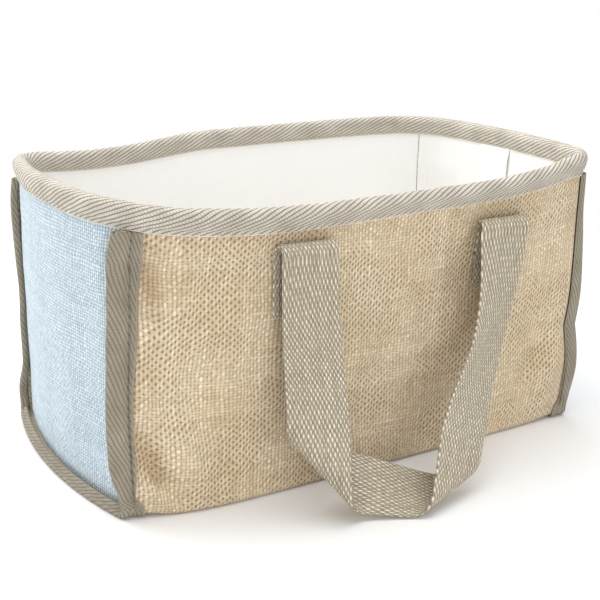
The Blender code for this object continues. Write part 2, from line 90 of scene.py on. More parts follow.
# Soft dents and bulges: place along the wall, height, reach along, reach up, tilt, depth outwards
softSpots = {
    "front": [
        (-0.1525, 0.146, 0.0060, 0.024, 8, -0.0044),    # pocket under the rim by the left seam
        (-0.1500, 0.034, 0.0068, 0.028, 24, -0.0060),   # pocket at the left foot
        (-0.1320, 0.040, 0.0110, 0.034, 18, 0.0032),
        (-0.1480, 0.012, 0.0120, 0.010, 0, 0.0026),     # the foot below it
        (-0.1000, 0.085, 0.0450, 0.045, 0, 0.0012),
        (0.0200, 0.150, 0.0300, 0.020, 0, 0.0010),
        (0.0560, 0.128, 0.0140, 0.030, 0, -0.0022),     # hollow beside the right strap
        (0.1480, 0.060, 0.0110, 0.046, -6, 0.0050),     # the jute swells over the right seam
        (0.1260, 0.050, 0.0060, 0.034, -38, -0.0018),   # soft crease running down from it
        (0.0980, 0.030, 0.0200, 0.022, 0, 0.0014),
        (-0.0200, 0.018, 0.0500, 0.014, 0, 0.0012),
    ],
    "back": [
        (-0.1300, 0.050, 0.0160, 0.040, 12, 0.0020),
        (0.1420, 0.040, 0.0120, 0.030, -16, -0.0022),
        (0.0100, 0.110, 0.0500, 0.040, 0, 0.0012),
        (-0.1480, 0.150, 0.0080, 0.016, 0, -0.0018),
    ],
    "left": [
        (-0.0550, 0.120, 0.0140, 0.040, 8, -0.0016),
        (0.0150, 0.090, 0.0300, 0.045, 0, 0.0014),
        (-0.0500, 0.030, 0.0120, 0.022, -24, -0.0014),
        (0.0600, 0.040, 0.0120, 0.030, 18, -0.0012),
    ],
    "right": [
        (0.0400, 0.110, 0.0160, 0.040, -8, -0.0014),
        (-0.0200, 0.070, 0.0280, 0.040, 0, 0.0014),
        (-0.0600, 0.035, 0.0110, 0.026, -20, -0.0012),
    ],
}
ripple = {"depth": 0.0007, "size": 0.034, "fineShare": 0.45, "fineScale": 2.3,
          "seeds": {"front": 3.1, "back": 11.7, "left": 23.9, "right": 37.3}}


def ease(value, low, high):
    share = min(max((value - low) / (high - low), 0), 1)
    return share * share * (3 - 2 * share)


def way(value):
    return -1 if value < 0 else 1


def spread(count, low, high):
    return [low + (high - low) * step / count for step in range(count + 1)]


def softPush(wall, place, height):
    # How far the cloth stands out of its plain curve at one place of a wall
    push = 0
    for middle, level, reach, rise, tilt, depth in softSpots[wall]:
        turn = math.radians(tilt)
        along, up = place - middle, height - level
        a = (along * math.cos(turn) + up * math.sin(turn)) / reach
        b = (up * math.cos(turn) - along * math.sin(turn)) / rise
        away = a * a + b * b
        if away < 3 ** 2:       # three reaches out nothing is left of it
            push += depth * math.exp(-away)
    spot = Vector((place / ripple["size"], height / ripple["size"], ripple["seeds"][wall]))
    fine = ripple["fineShare"] * noise.noise(spot * ripple["fineScale"])
    return push + ripple["depth"] * (noise.noise(spot) + fine)


def settle(x, y, z):
    # Moves a point of the flat-sided basket to where the soft, slumped one has it
    b = body
    rise = min(max(z / b["rimHeight"], 0), 1)
    along = min(abs(x) / b["halfLength"], 1)
    across = min(abs(y) / b["halfDepth"], 1)
    nearEnd = ease(along, *b["endEase"])
    nearSide = ease(across, *b["sideEase"])
    backShare = ease(y, -b["halfDepth"], b["halfDepth"])
    seamBulge = b["seamBulges"][(way(x), -1)] * (1 - backShare) + b["seamBulges"][(way(x), 1)] * backShare
    pushX = b["endBulge"] * (1 - across ** 2) + seamBulge * math.sin(math.pi * rise)
    if x > 0 and y < 0:
        pinch = b["pinch"]
        away = (z - pinch["height"]) / pinch["reach"]
        depth = pinch["depth"] * math.exp(-away * away)
        pushX -= depth * ease(across, pinch["from"], 1) * ease(z, 0, pinch["rise"])
    skew = 1 - b["baseSkew"] * (1 - rise) * x / b["halfLength"]
    pushY = (b["sideBulgeBase"] + (b["sideBulgeRim"] - b["sideBulgeBase"]) * rise) * skew
    pushY += b["rimFlare"] * rise ** b["flarePower"]
    pushY *= 1 - along ** (b["sidePowers"][0] + (b["sidePowers"][1] - b["sidePowers"][0]) * rise)
    offFloor = ease(z, 0, b["offFloor"])
    if nearSide > 0 and offFloor > 0:
        edge = 1 - ease(along, b["sideFade"], 1)
        pushY += softPush("front" if y < 0 else "back", x, z) * edge * offFloor
    if nearEnd > 0 and offFloor > 0:
        edge = 1 - ease(across, b["endFade"], 1)
        pushX += softPush("left" if x < 0 else "right", y, z) * edge * offFloor
    dip = b["leftDip"] * (1 - max(min(x / b["halfLength"], 1), -1)) / 2
    dip += b["frontDip"] * ease(-y, 0, b["halfDepth"]) * (1 - along ** b["dipPower"])
    sag = (1 - min(abs(x - b["sagMiddle"]) / b["sagReach"], 1) ** 2) ** 2
    dip += b["rimSag"] * ease(y, 0, b["halfDepth"]) * sag
    fullLift = b["halfLength"] - b["tapeOnPanel"] - b["webbing"]
    lift = (b["tape"] + b["tapeGap"]) * ease(abs(x), fullLift - b["liftRun"], fullLift)
    lift *= max(1 - z / b["liftHeight"], 0)
    pushX = pushX * nearEnd + b["rimSpreads"][way(x)] * rise * ease(along, 0, 1)
    return Vector((x + math.copysign(pushX, x), y + math.copysign(pushY * nearSide, y),
                   z * (1 - dip / b["rimHeight"]) + lift))


def planRadius(z, end, side):
    return body["cornerRadii"][(end, side)] * ease(z, body["cornerStart"], body["rimHeight"])


def cornerPath(share, radius, halfRun, halfOther):
    straight = halfRun - radius
    length = abs(share) * (straight + radius * math.pi / 4)
    if length <= straight or radius == 0:
        return math.copysign(length, share), halfOther
    turn = (length - straight) / radius
    return (math.copysign(straight + radius * math.sin(turn), share),
            halfOther - radius + radius * math.cos(turn))


foldRun = body["foldRadius"] * math.pi / 2
baseHalf = body["halfDepth"] - body["foldRadius"]
wallStart = baseHalf + foldRun          # path length at which a wall begins
wallRun = body["rimHeight"] - body["foldRadius"]
pathHalf = wallStart + wallRun


def wrapOutside(run, share):
    side, length, radius = way(run), abs(run), body["foldRadius"]
    if length <= baseHalf:
        return settle(share * body["halfLength"], run, 0)
    if length <= wallStart:
        turn = (length - baseHalf) / radius
        return settle(share * body["halfLength"], side * (baseHalf + radius * math.sin(turn)),
                      radius * (1 - math.cos(turn)))
    z = radius + length - wallStart
    x, y = cornerPath(share, planRadius(z, way(share), side), body["halfLength"], body["halfDepth"])
    return settle(x, side * y, z)


def endOutside(end, z, share):
    y, x = cornerPath(share, planRadius(z, end, way(share)), body["halfDepth"], body["halfLength"])
    return settle(end * x, y, z)


probe = {"run": 0.0012, "share": 0.006}     # how far apart the points lie that give a slope


def slopes(surface, first, second, limits):
    before, after = max(first - probe["run"], limits[0]), min(first + probe["run"], limits[1])
    left, right = max(second - probe["share"], -1), min(second + probe["share"], 1)
    along = surface(after, second) - surface(before, second)
    across = surface(first, right) - surface(first, left)
    return surface(first, second), along.normalized(), across.normalized()


def wrapFrame(run, share):
    point, along, across = slopes(wrapOutside, run, share, (-pathHalf, pathHalf))
    return point, across.cross(along).normalized() * -1, along


def endFrame(end, z, share):
    def surface(height, place):
        return endOutside(end, height, place)
    point, upward, backward = slopes(surface, z, share, (0, body["rimHeight"]))
    return point, backward.cross(upward).normalized() * end, backward


def wrapLayer(run, share, depth):
    point, normal, along = wrapFrame(run, share)
    return point - normal * depth


# Bench work: laying out a cloth, thickening it, sewing

def onlyThis(piece):
    bpy.ops.object.select_all(action='DESELECT')
    piece.select_set(True)
    bpy.context.view_layer.objects.active = piece


def layCloth(name, rows, columns, place, mapping, cutAway=None, shadeDepth=None):
    # A flat cloth of rows by columns, each corner laid in its place and given its own UV in metres.
    # Where it is creased, each corner also says how deep it lies in the crease, from 0 to 1, the mask for the
    # painted shade its material puts there.
    bpy.ops.object.select_all(action='DESELECT')
    bpy.ops.mesh.primitive_grid_add(x_subdivisions=columns - 1, y_subdivisions=rows - 1, size=2)
    cloth = bpy.context.object
    cloth.name = cloth.data.name = name
    spots = []
    for corner in cloth.data.vertices:
        column = round((corner.co.x + 1) / 2 * (columns - 1))
        row = round((corner.co.y + 1) / 2 * (rows - 1))
        spots.append((row, column))
        corner.co = place(row, column)
    layer = cloth.data.uv_layers[0]
    for loop in cloth.data.loops:
        layer.data[loop.index].uv = mapping(*spots[loop.vertex_index])
    if shadeDepth:
        depths = cloth.data.attributes.new("crease", 'FLOAT', 'POINT')
        for index, spot in enumerate(spots):
            depths.data[index].value = shadeDepth(*spot)
    if cutAway:
        onlyThis(cloth)
        bpy.ops.object.mode_set(mode='EDIT')
        bpy.ops.mesh.select_mode(type='FACE')
        bpy.ops.mesh.select_all(action='DESELECT')
        bpy.ops.object.mode_set(mode='OBJECT')
        for face in cloth.data.polygons:
            face.select = cutAway([spots[corner] for corner in face.vertices])
        bpy.ops.object.mode_set(mode='EDIT')
        bpy.ops.mesh.delete(type='FACE')
        bpy.ops.object.mode_set(mode='OBJECT')
    return cloth


def closeRing(piece):
    onlyThis(piece)
    bpy.ops.object.mode_set(mode='EDIT')
    bpy.ops.mesh.select_all(action='SELECT')
    bpy.ops.mesh.remove_doubles(threshold=0.00005)
    bpy.ops.object.mode_set(mode='OBJECT')


def thickenCloth(piece, thickness, rounding=0):
    onlyThis(piece)
    wall = piece.modifiers.new("thickness", 'SOLIDIFY')
    wall.thickness = thickness
    wall.offset = 0
    bpy.ops.object.modifier_apply(modifier=wall.name)
    if rounding:
        soft = piece.modifiers.new("soft", 'SUBSURF')
        soft.levels = soft.render_levels = rounding
        bpy.ops.object.modifier_apply(modifier=soft.name)
    bpy.ops.object.mode_set(mode='EDIT')
    bpy.ops.mesh.select_all(action='SELECT')
    bpy.ops.mesh.normals_make_consistent(inside=False)
    bpy.ops.object.mode_set(mode='OBJECT')
    bpy.ops.object.shade_smooth_by_angle(angle=math.radians(50))


stitch = {"length": 0.0030, "thickness": 0.00062, "pitch": 0.0036, "sides": 6, "rings": 5}


def makeStitch():
    # One stitch, lying along X: modelled once and copied down every seam
    bpy.ops.object.select_all(action='DESELECT')
    bpy.ops.mesh.primitive_uv_sphere_add(segments=stitch["sides"], ring_count=stitch["rings"], radius=0.5,
                                         rotation=(0, math.pi / 2, 0))
    one = bpy.context.object
    bpy.ops.object.transform_apply(location=True, rotation=True, scale=True)
    bpy.ops.object.mode_set(mode='EDIT')
    bpy.ops.mesh.select_all(action='SELECT')
    bpy.ops.transform.resize(value=(stitch["length"], stitch["thickness"], stitch["thickness"]))
    bpy.ops.object.mode_set(mode='OBJECT')
    corners = [corner.co.copy() for corner in one.data.vertices]
    faces = [tuple(face.vertices) for face in one.data.polygons]
    bpy.data.objects.remove(one)
    return corners, faces


stitchCorners, stitchFaces = makeStitch()


def sewLine(name, path, normals):
    # Stitches laid end to end along a path, each half sunk in the cloth
    corners, faces = [], []
    travelled = 0
    nextAt = stitch["pitch"] / 2
    for start, stop, normal in zip(path, path[1:], normals):
        length = (stop - start).length
        while length > 0 and travelled + length >= nextAt:
            share = (nextAt - travelled) / length
            middle = start.lerp(stop, share)
            ahead = (stop - start).normalized()
            side = normal.cross(ahead).normalized()
            out = ahead.cross(side)
            first = len(corners)
            corners += [middle + ahead * c.x + side * c.y + out * c.z for c in stitchCorners]
            faces += [tuple(first + index for index in face) for face in stitchFaces]
            nextAt += stitch["pitch"]
        travelled += length
    mesh = bpy.data.meshes.new(name)
    mesh.from_pydata(corners, [], faces)
    mesh.polygons.foreach_set("use_smooth", [True] * len(mesh.polygons))
    seam = bpy.data.objects.new(name, mesh)
    bpy.context.scene.collection.objects.link(seam)
    return seam


# Finishes

def newMaterial(name, roughness, specular=0.25):
    material = bpy.data.materials.new(name)
    material.use_nodes = True
    tree = material.node_tree
    shader = tree.nodes["Principled BSDF"]
    shader.inputs["Roughness"].default_value = roughness
    shader.inputs["Specular IOR Level"].default_value = specular
    return material, tree, shader


class Reading:
    # What a material reads off at each spot of its cloth. Each sum on it adds one Math node.
    def __init__(self, tree, socket):
        self.tree, self.socket = tree, socket

    def calc(self, operation, *values):
        node = self.tree.nodes.new("ShaderNodeMath")
        node.operation = operation
        for wanted, value in zip(node.inputs, values):
            feed(self.tree, value, wanted)
        return Reading(self.tree, node.outputs[0])

    def __add__(self, other):
        return self.calc('ADD', self, other)

    def __sub__(self, other):
        return self.calc('SUBTRACT', self, other)

    def __rsub__(self, other):
        return self.calc('SUBTRACT', other, self)

    def __mul__(self, other):
        return self.calc('MULTIPLY', self, other)

    def __truediv__(self, other):
        return self.calc('DIVIDE', self, other)

    def __mod__(self, other):
        return self.calc('FLOORED_MODULO', self, other)

    def __pow__(self, other):
        return self.calc('POWER', self, other)

    def __gt__(self, other):
        return self.calc('GREATER_THAN', self, other)

    def __lt__(self, other):
        return self.calc('LESS_THAN', self, other)

    def __abs__(self):
        return self.calc('ABSOLUTE', self)

    def __floor__(self):
        return self.calc('FLOOR', self)

    def __round__(self):
        return self.calc('ROUND', self)

    def root(self):
        return self.calc('SQRT', self)

    def sine(self):
        return self.calc('SINE', self)

    def atLeast(self, other):
        return self.calc('MAXIMUM', self, other)

    def atMost(self, other):
        return self.calc('MINIMUM', self, other)


def feed(tree, value, wanted):
    # Gives a node's input what it wants: a reading is linked to it, a number or a colour is set on it
    if isinstance(value, Reading):
        tree.links.new(value.socket, wanted)
    else:
        wanted.default_value = (*value, 1) if isinstance(value, tuple) else value


def clothCoordinates(tree):
    # Metres along and across the cloth, from its own UV map
    place = tree.nodes.new("ShaderNodeUVMap")
    place.uv_map = "UVMap"
    parts = tree.nodes.new("ShaderNodeSeparateXYZ")
    tree.links.new(place.outputs["UV"], parts.inputs["Vector"])
    return Reading(tree, parts.outputs["X"]), Reading(tree, parts.outputs["Y"])


def creaseShadeDepth(tree):
    # How deep a spot lies in a crease or pocket of its cloth, as layCloth wrote it there: the mask for painted
    # shade
    node = tree.nodes.new("ShaderNodeAttribute")
    node.attribute_name = "crease"
    return Reading(tree, node.outputs["Fac"])


def joinedPlace(tree, *values):
    node = tree.nodes.new("ShaderNodeCombineXYZ")
    for wanted, value in zip(node.inputs, values):
        feed(tree, value, wanted)
    return node.outputs[0]


# Soft noise in the cloths: how fast it changes each way, its seed and its detail
clouds = {
    "warpSlub": (7.3, 0.16, 1.5, 2.0), "weftSlub": (5.9, 0.16, 8.5, 2.0),
    "warpLength": (3.7, 0.10, 4.2, 2.0), "weftLength": (3.1, 0.10, 9.4, 2.0),
    "driftU": (0.11, 0.05, 3.3, 2.0), "driftV": (0.05, 0.11, 6.1, 2.0), "pulled": (0.07, 0.05, 31.0, 2.0),
    "patches": (26.0, 26.0, 12.0, 3.0), "fibres": (3.1, 3.1, 17.0, 3.0), "flecks": (0.9, 0.55, 21.0, 2.0),
    "tapeWobble": (60.0, 90.0, 2.7, 2.0), "tapeFibres": (900.0, 1300.0, 5.0, 3.0),
    "tapePatches": (55.0, 70.0, 7.0, 2.0),
}


def cloudy(kind, x, y):
    # Soft noise from 0 to 1, centred on a half
    fastX, fastY, seed, detail = clouds[kind]
    tree = x.tree
    node = tree.nodes.new("ShaderNodeTexNoise")
    node.inputs["Scale"].default_value = 1.0
    node.inputs["Detail"].default_value = detail
    tree.links.new(joinedPlace(tree, x * fastX, y * fastY, seed), node.inputs["Vector"])
    return Reading(tree, node.outputs["Fac"])


def steadyChance(dimensions, x, *others):
    # A random share that stays the same all over one thread, or one crossing
    node = x.tree.nodes.new("ShaderNodeTexWhiteNoise")
    node.noise_dimensions = dimensions
    x.tree.links.new(joinedPlace(x.tree, x, *others), node.inputs["Vector"])
    return Reading(x.tree, node.outputs["Value"])


def blendColours(tree, share, first, second, kind='MIX'):
    node = tree.nodes.new("ShaderNodeMix")
    node.data_type = 'RGBA'
    node.blend_type = kind
    for place, value in ((0, share), (6, first), (7, second)):     # a Mix node's share and its two colours
        feed(tree, value, node.inputs[place])
    return Reading(tree, node.outputs[2])


def darken(colour, share):
    return blendColours(colour.tree, 1.0, colour, share, 'MULTIPLY')


def raiseCloth(tree, shader, height, distance):
    node = tree.nodes.new("ShaderNodeBump")
    node.inputs["Strength"].default_value = 1.0
    node.inputs["Distance"].default_value = distance
    feed(tree, height, node.inputs["Height"])
    tree.links.new(node.outputs["Normal"], shader.inputs["Normal"])


def srgb(red, green, blue):
    # A colour given from 0 to 255, as the shaders want it
    def linear(value):
        value /= 255
        return value / 12.92 if value <= 0.04045 else ((value + 0.055) / 1.055) ** 2.4
    return tuple(linear(value) for value in (red, green, blue))


def roundThread(across, half):
    # Cross-section of a round thread: one in its middle, nothing beyond its edge
    part = across / half
    return (1.0 - part * part).atLeast(0.0).root()


openings = {"wide": 0.45, "tall": 0.86, "crisp": 1.2, "closing": 0.9,
            "pulledFrom": 0.34, "pulledGain": 5.0, "pulledLeast": 0.15}


def openWeave(u, v, height, openness):
    # A loose weave pulls together in pairs: every other hole between the threads opens tall, the rest close
    nearU, nearV = round(u), round(v)
    across, up = (u - nearU) / openings["wide"], (v - nearV) / openings["tall"]
    spot = ((1.0 - (across * across + up * up)).atLeast(0.0) * openings["crisp"]).atMost(1.0)
    odd = (nearU + nearV) % 2.0
    pulled = (cloudy("pulled", u, v) - openings["pulledFrom"]) * openings["pulledGain"]
    spot = spot * (pulled.atLeast(openings["pulledLeast"]).atMost(1.0) * openness)
    return height.atLeast(spot * odd * openings["closing"]) * (1.0 - spot * (1.0 - odd))


def threadSet(finish, kind, place, other):
    # One set of threads, counted by place: number, round height, a sign for the side on which each thread
    # starts, and how far off its middle a spot lies
    number = math.floor(place)
    across = place - number - 0.5
    slubs = finish["slubs"]
    half = cloudy(kind + "Slub", number, other) * slubs + (finish[kind + "Half"] - slubs / 2)
    return number, roundThread(across, half), 1.0 - number % 2.0 * 2.0, across


def plainWeave(u, v, finish):
    # Over-and-under weave, counted in threads. Gives its height, the upper threads' share and their numbers.
    warpNumber, warpRound, warpSign, warpAcross = threadSet(finish, "warp", u, v)
    weftNumber, weftRound, weftSign = threadSet(finish, "weft", v, u)[:3]
    swing = ((v + warpAcross * finish["lean"]) * math.pi).sine()
    sway = finish["sway"]
    warpHeight = warpRound * (warpSign * swing * sway + 1.0)
    weftHeight = weftRound * (1.0 - weftSign * (u * math.pi).sine() * sway) * finish["weftRise"]
    height = warpHeight.atLeast(weftHeight) / (1 + sway)
    if finish["knuckle"]:
        # Thick yarns round over between one crossing and the next
        height = height * (abs(swing).root() * finish["knuckle"] + (1 - finish["knuckle"]))
    if finish["openness"]:
        height = openWeave(u, v, height, finish["openness"])
    return height, warpHeight > weftHeight, warpNumber, weftNumber


weaving = {
    "tintSeeds": {"warp": 0.37, "weft": 0.71}, "patchFrom": 0.38, "patchMost": 0.6,
    "fleckGain": 7.0, "fleckMost": 0.65, "gapEdge": 3.0, "fuzz": 0.25, "sheenRoughness": 0.6,
}


def threadColour(finish, kind, number, other):
    # Between the dark and the light yarn of its set, part by thread and part by cloudy lengths along it
    tint = steadyChance('2D', number, weaving["tintSeeds"][kind]) + cloudy(kind + "Length", number, other)
    return blendColours(number.tree, tint * 0.5, finish[kind + "Dark"], finish[kind + "Light"])


def wovenMaterial(name, finish):
    # Coarse woven cloth: two sets of uneven yarns, dark between them as painted shade, with cloudy tint and stray
    # flecks
    material, tree, shader = newMaterial(name, finish["roughness"])
    along, up = clothCoordinates(tree)
    u, v = along / finish["warpPitch"], up / finish["weftPitch"]
    driftU, driftV = [(cloudy(kind, u, v) - 0.5) * finish["wander"] for kind in ("driftU", "driftV")]
    u, v = u + driftU, v + driftV
    height, warpOnTop, warpNumber, weftNumber = plainWeave(u, v, finish)
    yarn = blendColours(tree, warpOnTop, threadColour(finish, "weft", weftNumber, u),
                        threadColour(finish, "warp", warpNumber, v))
    patch = (cloudy("patches", along, up) - weaving["patchFrom"]) * finish["patchiness"]
    yarn = blendColours(tree, patch.atLeast(0.0).atMost(weaving["patchMost"]), yarn, finish["patch"])
    fibres = cloudy("fibres", u, v)
    crossing = steadyChance('3D', warpNumber, weftNumber, warpOnTop)
    uneven = crossing * finish["uneven"] + (1 - finish["uneven"] / 2)
    fibreShade = (fibres * finish["fibre"] + (1 - finish["fibre"] / 2)) * uneven
    fleck = (cloudy("flecks", u, v) - finish["fleckFrom"]) * weaving["fleckGain"]
    yarn = blendColours(tree, fleck.atLeast(0.0).atMost(weaving["fleckMost"]), yarn, finish["fleck"])
    # Painted shade: the jute is coloured darker and browner where it lies deep in a pocket, for the shade that
    # gathers there
    if finish["pocketShadeShare"]:
        yarn = blendColours(tree, creaseShadeDepth(tree) * finish["pocketShadeShare"], yarn, finish["hollow"])
    # Painted shade: each yarn darkens towards its low places and the gap colour fills the holes between the yarns
    shade = (height ** finish["gapFall"] * (1 - finish["gapShade"]) + finish["gapShade"]) * fibreShade
    colour = blendColours(tree, (height * weaving["gapEdge"]).atMost(1.0), finish["gap"], darken(yarn, shade))
    feed(tree, colour, shader.inputs["Base Color"])
    raiseCloth(tree, shader, height + fibres * weaving["fuzz"], finish["relief"])
    shader.inputs["Sheen Weight"].default_value = finish["sheen"]
    shader.inputs["Sheen Roughness"].default_value = weaving["sheenRoughness"]
    return material


# Pitches and reliefs are in metres; the halves are of a thread's pitch, and the rest are shares
# In every finish the gap colour and gapShade are painted shade between the yarns
juteFinish = {
    "warpPitch": 0.0023, "weftPitch": 0.00212, "warpHalf": 0.41, "weftHalf": 0.42, "slubs": 0.24,
    "sway": 0.40, "weftRise": 1.0, "lean": 0.0, "uneven": 0.28, "openness": 0.72, "knuckle": 0, "wander": 3.0,
    "roughness": 0.88, "relief": 0.00055, "sheen": 0.06, "fibre": 0.40,
    "warpLight": srgb(245, 231, 205), "warpDark": srgb(220, 201, 169),
    "weftLight": srgb(236, 217, 187), "weftDark": srgb(204, 181, 144),
    "patch": srgb(196, 168, 126), "patchiness": 0.95,
    "gap": srgb(142, 116, 79), "gapShade": 0.50, "gapFall": 0.7,
    # The hollow colour below is painted shade for the jute's pockets
    "fleck": srgb(150, 118, 76), "fleckFrom": 0.69, "hollow": srgb(158, 122, 78), "pocketShadeShare": 0.42,
}
blueFinish = {
    "warpPitch": 0.0022, "weftPitch": 0.00205, "warpHalf": 0.41, "weftHalf": 0.41, "slubs": 0.24,
    "sway": 0.6, "weftRise": 0.95, "lean": 0.0, "uneven": 0.26, "openness": 0.15, "knuckle": 0, "wander": 2.4,
    "roughness": 0.88, "relief": 0.00050, "sheen": 0.08, "fibre": 0.36,
    "warpLight": srgb(238, 249, 254), "warpDark": srgb(211, 228, 238),
    "weftLight": srgb(228, 242, 251), "weftDark": srgb(192, 214, 227),
    "patch": srgb(202, 221, 234), "patchiness": 0.8,
    "gap": srgb(92, 124, 145), "gapShade": 0.32, "gapFall": 0.8,
    "fleck": srgb(238, 238, 232), "fleckFrom": 0.70, "pocketShadeShare": 0,
}
webFinish = {
    "warpPitch": 0.00130, "weftPitch": 0.0027, "warpHalf": 0.50, "weftHalf": 0.44, "slubs": 0.20, "sway": 0.6,
    "weftRise": 0.60, "lean": 0.30, "uneven": 0.30, "openness": 0, "knuckle": 0.55, "wander": 1.5,
    "roughness": 0.85, "relief": 0.00060, "sheen": 0.08, "fibre": 0.24,
    "warpLight": srgb(248, 239, 218), "warpDark": srgb(218, 206, 180),
    "weftLight": srgb(196, 184, 158), "weftDark": srgb(168, 155, 128),
    "patch": srgb(204, 192, 167), "patchiness": 0.5,
    "gap": srgb(98, 86, 64), "gapShade": 0.34, "gapFall": 1.0,
    "fleck": srgb(180, 164, 134), "fleckFrom": 0.73, "pocketShadeShare": 0,
}
cottonFinish = {
    "warpPitch": 0.00062, "weftPitch": 0.00062, "warpHalf": 0.49, "weftHalf": 0.49, "slubs": 0.10,
    "sway": 0.35, "weftRise": 1.0, "lean": 0.0, "uneven": 0.02, "openness": 0, "knuckle": 0, "wander": 0.8,
    "roughness": 0.8, "relief": 0.00006, "sheen": 0.05, "fibre": 0.05,
    "warpLight": srgb(250, 249, 247), "warpDark": srgb(247, 246, 243),
    "weftLight": srgb(249, 248, 246), "weftDark": srgb(245, 244, 240),
    "patch": srgb(244, 242, 237), "patchiness": 0.5,
    "gap": srgb(232, 230, 224), "gapShade": 0.92, "gapFall": 1.0,
    "fleck": srgb(236, 229, 214), "fleckFrom": 0.76, "pocketShadeShare": 0,
}
labelFinish = dict(cottonFinish, warpLight=srgb(255, 255, 255), warpDark=srgb(254, 254, 254),
                   weftLight=srgb(255, 255, 255), weftDark=srgb(253, 253, 253), patch=srgb(253, 253, 253),
                   gap=srgb(248, 248, 248), fleck=srgb(252, 252, 252), sheen=0.2, roughness=0.55,
                   warpPitch=0.0004, weftPitch=0.0004)


def twillMaterial(name, finish):
    # Binding tape: raised diagonal ribs of short floats, painted dark in the grooves between them as painted
    # shade, with a plain light selvedge along both edges
    material, tree, shader = newMaterial(name, finish["roughness"])
    along, across = clothCoordinates(tree)
    lean = math.radians(finish["lean"])
    wobble = (cloudy("tapeWobble", along, across) - 0.5) * finish["wobble"]
    rib = (across * math.cos(lean) - along * math.sin(lean) + wobble) / finish["pitch"]
    ribNumber = math.floor(rib)
    ribRound = roundThread(rib - ribNumber - 0.5, finish["ribHalf"])
    step = along * math.cos(lean) + across * math.sin(lean)
    step = step / finish["float"] + ribNumber * finish["stagger"]
    height = ribRound * (abs((step * math.pi).sine()) * finish["notch"] + (1 - finish["notch"]))
    selvedge = across.atMost(finish["width"] - across) < finish["selvedge"]
    fibres = cloudy("tapeFibres", along, across)
    high = blendColours(tree, cloudy("tapePatches", along, across), finish["ribDark"], finish["ribLight"])
    lit = height.atLeast(selvedge * finish["edgeLight"]) * (fibres * finish["fibre"] + finish["fibreBase"])
    share = (lit.atLeast(0.0) ** finish["fall"]).atMost(1.0)
    # Painted shade: the tape is darkened along its stitched crease at the seam
    paintedCreaseShade = 1.0 - creaseShadeDepth(tree) * finish["creaseShade"]
    feed(tree, darken(blendColours(tree, share, finish["groove"], high), paintedCreaseShade), shader.inputs["Base Color"])
    raised = height.atLeast(selvedge * finish["edgeRise"])
    raiseCloth(tree, shader, raised + fibres * finish["fuzz"], finish["relief"])
    shader.inputs["Sheen Weight"].default_value = finish["sheen"]
    return material


# One tape in two lights: the rim's colours are painted light for its lit crest, and the fins' copy below is
# painted shade for the shade they stand in
litRimTapeFinish = {
    "lean": 24, "pitch": 0.0023, "float": 0.0019, "wobble": 0.0016, "ribHalf": 0.46, "stagger": 0.37,
    "notch": 0.38, "selvedge": 0.0008, "edgeLight": 0.95, "edgeRise": 0.8, "fibre": 1.1, "fibreBase": 0.45,
    "fuzz": 0.2, "relief": 0.00034, "roughness": 0.9, "sheen": 0.06, "fall": 0.8, "creaseShade": 0.85,
    "ribLight": srgb(240, 234, 223), "ribDark": srgb(182, 173, 156), "groove": srgb(92, 84, 69),
}
shadedFinTapeFinish = dict(litRimTapeFinish, ribLight=srgb(176, 168, 152), ribDark=srgb(136, 127, 109),
                     groove=srgb(98, 89, 73), fall=0.42)
threadFinish = {"light": srgb(226, 218, 200), "dark": srgb(176, 166, 144), "roughness": 0.7,
                "fine": 1800.0, "relief": 0.0001}


def threadMaterial(name, finish):
    # Sewing thread: a fine twist along each stitch
    material, tree, shader = newMaterial(name, finish["roughness"])
    place = tree.nodes.new("ShaderNodeTexCoord")
    node = tree.nodes.new("ShaderNodeTexNoise")
    node.inputs["Scale"].default_value = finish["fine"]
    tree.links.new(place.outputs["Object"], node.inputs["Vector"])
    twist = Reading(tree, node.outputs["Fac"])
    feed(tree, blendColours(tree, twist, finish["dark"], finish["light"]), shader.inputs["Base Color"])
    raiseCloth(tree, shader, twist, finish["relief"])
    return material


juteCloth = wovenMaterial("natural_jute_weave", juteFinish)
blueCloth = wovenMaterial("blue_jute_weave", blueFinish)
webCloth = wovenMaterial("cotton_webbing_weave", webFinish)
liningCloth = wovenMaterial("white_cotton_weave", cottonFinish)
labelCloth = wovenMaterial("blank_label_weave", labelFinish)
thread = threadMaterial("sewing_thread", threadFinish)
slots = {m["slot"] for m in frame["record"]["materials"]}
print("finishes made; slots in the record:", sorted(slots))


# The jute wrap: front, base and back in one length, its seam allowances out in the fins

# The last two are the pocket depths at which the jute's painted shade starts and is full
juteWrap = {"wallRows": 64, "rimRows": 5, "foldRows": 5, "baseRows": 30, "columns": 112, "finColumns": 3,
            "pocketShadeFrom": 0.0005, "pocketShadeFull": 0.0036}
fins = {
    "fabric": 0.0090, "wider": 0.0016, "base": 0.0056, "rise": 0.036, "taper": 0.0025, "taperRun": 0.030,
    "wave": 7.0, "waveLength": 0.036, "waveSeeds": (4.7, 1.9), "turnFrom": 0.075, "turnTo": 0.150,
    "turns": {(-1, -1): (0, 4), (1, -1): (2, 26), (-1, 1): (52, 22), (1, 1): (6, 6)},
}
rimTape = {
    "outside": 0.0130, "inside": 0.0115, "puff": 0.0027, "puffPower": 0.8, "sectionSteps": 30, "steps": 420,
    "stitchOutside": 0.0098, "stitchInside": 0.0102, "stitchStand": 0.00015,
    "pinch": 0.0008, "pinchReach": 0.0011,
    "pucker": 0.00035, "puckerRound": 14, "puckerSeed": 3.0, "sunk": 0.00015, "sunkSection": 0.0001,
    "narrowing": 0.0024, "narrowFrom": (-0.10, 0.04), "narrowTo": (0.146, 0.158), "measuredAt": 6,
}

stack = body["jute"] + body["gap"] + body["lining"]
crestRadius = stack / 2 + body["gap"] + body["tape"] / 2
crestHeight = body["rimHeight"] - body["tape"] / 2 - crestRadius
finTop = body["rimHeight"] - rimTape["outside"] - body["gap"] * 2


